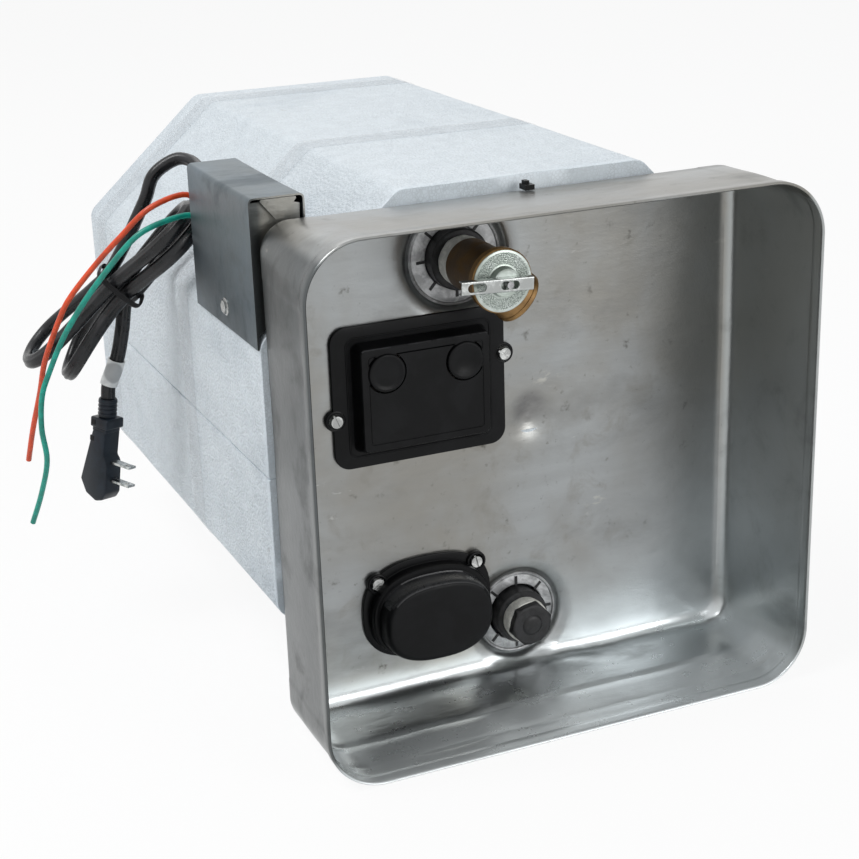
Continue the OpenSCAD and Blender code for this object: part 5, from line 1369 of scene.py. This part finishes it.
class HEATER_OT_plug(Step, bpy.types.Operator):
    """Make the right-angled plug, the blank tag and the twist tie of the mains cord"""

    bl_idname = "heater.plug"
    bl_label = "Plug, Tag and Tie"

    def make(self, scene):
        self.body()
        self.pockets()
        self.tag()
        self.tie()

    def body(self):
        bm = bmesh.new()
        skin(bm, [[in_plug(x + 0.45 * (s < 0) * (x < -5), s * PLUG_HALF, z) for x, z in PLUG_SIDE] for s in (-1, 1)])
        softened(bm, 1.5, 20.0)
        for x0, x1, half, z0, z1, round_by in PLUG_BLOCKS:
            block = bmesh.new()
            outline = ((x0, -half), (x1, -half), (x1, half), (x0, half))
            skin(block, [[in_plug(x, y, z) for x, y in outline] for z in (z0, z1)])
            softened(block, round_by, 30.0)
            mesh = bpy.data.meshes.new("block")
            block.to_mesh(mesh)
            block.free()
            bm.from_mesh(mesh)
            bpy.data.meshes.remove(mesh)
        profile = [(4.95, -1.0), (4.95, 11.9), (5.7, 12.0), (6.1, 11.4)]
        for drop in (PLUG_RIB_STEP * k for k in range(PLUG_RIBS)):
            profile += [(6.25, 10.4 - drop), (6.25, 9.2 - drop), (5.75, 8.9 - drop), (5.75, 8.0 - drop)]
        rings = [[in_plug(r * c, r * s, z) for c, s in round_ways(32)] for r, z in profile]
        skin(bm, rings + rings[:1], start=False, end=False)
        piece("plug_moulding", bm, "plug_plastic", "plug_body", crease=28.0)

    def pockets(self):
        """Two small dark squares on the plug's face: painted shade for its two square pockets."""
        bm = bmesh.new()
        for x, z, front in ((-4.6, -4.0, -8.05), (-5.8, -15.5, -7.55)):
            square = box_corners(2 * POCKET_HALF, 2 * POCKET_HALF)
            skin(bm, [[in_plug(x + p.x, y, z + p.y) for p in square] for y in (front, -5.0)])
        piece("plug_pockets", bm, "black_rubber")

    def tag(self):
        """A thin sleeve round the cord above the plug."""
        middle = spot(*TAG_MIDDLE)
        near = [p for p in cord_route()[-26:] if (p - middle).length < TAG_HALF]
        inside, outside = [], []
        for size, rows in zip(TAG_RADII, (inside, outside)):
            for k, p in enumerate(near):
                ahead = heading(near, k)
                u = ahead.cross(Vector((0.3, 1.0, 0.0))).normalized()
                v = ahead.cross(u)
                rows.append([p + MM * size * (c * u + 0.93 * s * v) for c, s in round_ways(40)])
        bm = bmesh.new()
        skin(bm, outside + inside[::-1] + outside[:1], start=False, end=False)
        piece("blank_tag", bm, "white_plastic", "cord_tag", crease=40.0)

    def tie(self):
        """A flat tie wound twice round the hank, with its two ends twisted together."""
        bm = bmesh.new()
        line = []
        for share in (k / TIE_STEPS for k in range(TIE_STEPS + 1)):
            t = 4 * math.pi * share - 0.6
            c, s = math.cos(t), math.sin(t)
            a, b = TIE_OPEN * math.copysign(abs(c) ** 0.5, c), TIE_SIDE * math.copysign(abs(s) ** 0.5, s)
            line.append(spot(*(WAIST + a * HANK_OPEN + b * HANK_SIDE + HANK_WAY * (3.4 * (share - 0.5)))))
        tube(bm, line, [(0.5 * MM * c, 1.2 * MM * s) for c, s in round_ways(12)], HANK_OPEN)
        knot = WAIST + 11.4 * HANK_OPEN
        for turn, reach in ((0.0, 6.2), (math.pi, 5.0)):
            tail = []
            for d in (reach * k / 24 for k in range(25)):
                a, wide = turn + 0.9 * d, 0.7 + 0.1 * max(0.0, d - 5.0)
                p = knot - (6.0 + 0.25 * d) * HANK_SIDE + d * 0.5 * HANK_OPEN - d * 0.75 * HANK_WAY
                tail.append(spot(*(p + wide * math.cos(a) * HANK_SIDE + wide * math.sin(a) * HANK_OPEN)))
            tube(bm, tail, [(0.6 * MM * c, 0.6 * MM * s) for c, s in round_ways(8)], HANK_SIDE)
        piece("twist_tie", bm, "black_rubber", "cord_tie", crease=40.0)


OWN_LOOKS = {"wire_box": "box_sheet", "valve_stem": "spring_steel"}


class HEATER_OT_inside(Step, bpy.types.Operator):
    """Give the pieces that keep their CAD shape their finishes"""

    bl_idname = "heater.inside"
    bl_label = "Carried-over Pieces"

    def make(self, scene):
        for part in frame["record"]["subparts"]:
            obj = frame["nodes"][part["node"]]
            obj.data.materials.clear()
            obj.data.materials.append(finish(OWN_LOOKS.get(part["node"], part["material_slot"])))


# Name, place, size and power of each lamp.
LAMPS = (("key_light", (-1.5, -0.4, 2.6), 1.5, 45.0), ("front_light", (1.1, -2.3, 0.9), 1.5, 18.0),
         ("back_light", (0.4, 1.7, 2.0), 1.6, 6.0))
LAMP_AIM = Vector((0.0, 0.0, 0.15))
FLOOR_HALF, FLOOR_DROP, FLOOR_GLOW, WORLD_LIGHT = 8, -0.0004, 0.9, 0.36
WHITE = (1.0, 1.0, 1.0, 1.0)
# The camera's angles and place, and its focal length and middle in pixels of the photograph's width.
CAMERA_ANGLES, CAMERA_PLACE = (-23.66, 20.78, -1.79), (-0.45611, -1.09581, 0.54163)
PHOTO_WIDTH, FOCAL, PHOTO_MIDDLE, SENSOR = 859.0, 1809.96, (446.0, 464.3), 36.0


class HEATER_OT_stage(Step, bpy.types.Operator):
    """Make the pale floor, the soft studio light and the camera"""

    bl_idname = "heater.stage"
    bl_label = "Stage"

    def make(self, scene):
        scene.view_settings.view_transform = "Standard"
        self.floor(scene)
        self.world(scene)
        for lamp in LAMPS:
            self.lamp(scene, *lamp)
        self.camera(scene)

    def floor(self, scene):
        mesh = bpy.data.meshes.new("floor")
        h = FLOOR_HALF
        mesh.from_pydata([(x, y, FLOOR_DROP) for x, y in ((-h, -h), (h, -h), (h, h), (-h, h))], [], [(0, 1, 2, 3)])
        floor = bpy.data.objects.new("floor", mesh)
        scene.collection.objects.link(floor)
        material = bpy.data.materials.new("floor_white")
        material.use_nodes = True
        w = Wiring(material.node_tree)
        shader = w.tree.nodes["Principled BSDF"]
        shader.inputs["Base Color"].default_value = (0.95, 0.95, 0.95, 1.0)
        shader.inputs["Roughness"].default_value = 0.9
        glow = w.add("ShaderNodeEmission", {"Color": WHITE, "Strength": 1.0})
        share = w.times(w.seen_rays(), FLOOR_GLOW)
        both = w.add("ShaderNodeMixShader", {0: share, 1: shader.outputs[0], 2: glow.outputs[0]})
        w.feed(w.tree.nodes["Material Output"].inputs[0], both.outputs[0])
        mesh.materials.append(material)

    def world(self, scene):
        scene.world = bpy.data.worlds.new("studio")
        scene.world.use_nodes = True
        w = Wiring(scene.world.node_tree)
        w.tree.nodes.clear()
        light = w.add("ShaderNodeBackground", {"Color": (0.95, 0.98, 1.0, 1.0), "Strength": WORLD_LIGHT})
        white = w.add("ShaderNodeBackground", {"Color": WHITE, "Strength": 1.0})
        both = w.add("ShaderNodeMixShader", {0: w.seen_rays(), 1: light.outputs[0], 2: white.outputs[0]})
        w.feed(w.add("ShaderNodeOutputWorld").inputs[0], both.outputs[0])

    def lamp(self, scene, name, place, size, power):
        data = bpy.data.lights.new(name, "AREA")
        data.shape = "DISK"
        data.size = size
        data.energy = power
        lamp = bpy.data.objects.new(name, data)
        scene.collection.objects.link(lamp)
        lamp.location = place
        lamp.rotation_euler = (LAMP_AIM - Vector(place)).to_track_quat("-Z", "Y").to_euler()

    def camera(self, scene):
        data = bpy.data.cameras.new("camera")
        camera = bpy.data.objects.new("camera", data)
        scene.collection.objects.link(camera)
        az, el, roll = (math.radians(a) for a in CAMERA_ANGLES)
        right = Vector((math.cos(az), math.sin(az), 0.0))
        ahead = Vector((-math.sin(az) * math.cos(el), math.cos(az) * math.cos(el), -math.sin(el)))
        up = right.cross(ahead)
        right, up = right * math.cos(roll) + up * math.sin(roll), up * math.cos(roll) - right * math.sin(roll)
        turn = Matrix((right, up, -ahead)).transposed().to_4x4()
        camera.matrix_world = Matrix.Translation(CAMERA_PLACE) @ turn
        data.sensor_width = SENSOR
        data.lens = FOCAL / PHOTO_WIDTH * SENSOR
        data.shift_x = (PHOTO_WIDTH / 2 - PHOTO_MIDDLE[0]) / PHOTO_WIDTH
        data.shift_y = (PHOTO_MIDDLE[1] - PHOTO_WIDTH / 2) / PHOTO_WIDTH
        data.clip_start, data.clip_end = 0.05, 60.0
        scene.camera = camera


STEPS = (HEATER_OT_inside, HEATER_OT_box, HEATER_OT_plug, HEATER_OT_cord, HEATER_OT_wires, HEATER_OT_pan,
         HEATER_OT_jacket, HEATER_OT_valve, HEATER_OT_lever, HEATER_OT_fittings, HEATER_OT_covers, HEATER_OT_stage)


class HEATER_PT_panel(bpy.types.Panel):
    """Lists the steps that dress the heater, with their sizes and colours"""

    bl_idname = "HEATER_PT_panel"
    bl_label = "Water Heater"
    bl_space_type = "VIEW_3D"
    bl_region_type = "UI"
    bl_category = "Heater"

    def draw(self, context):
        for step in STEPS:
            self.layout.operator(step.bl_idname)
        for group in (context.scene.heater_sizes, context.scene.heater_colours):
            for label in group.__annotations__:
                self.layout.prop(group, label)


CLASSES = (HeaterSizes, HeaterColours, *STEPS, HEATER_PT_panel)


def register():
    for cls in CLASSES:
        bpy.utils.register_class(cls)
    bpy.types.Scene.heater_sizes = bpy.props.PointerProperty(type=HeaterSizes)
    bpy.types.Scene.heater_colours = bpy.props.PointerProperty(type=HeaterColours)


def unregister():
    del bpy.types.Scene.heater_colours
    del bpy.types.Scene.heater_sizes
    for cls in reversed(CLASSES):
        bpy.utils.unregister_class(cls)


def main():
    """Dresses the heater step by step."""
    register()
    for step in STEPS:
        area, action = step.bl_idname.split(".")
        getattr(getattr(bpy.ops, area), action)()


if __name__ == "__main__":
    main()
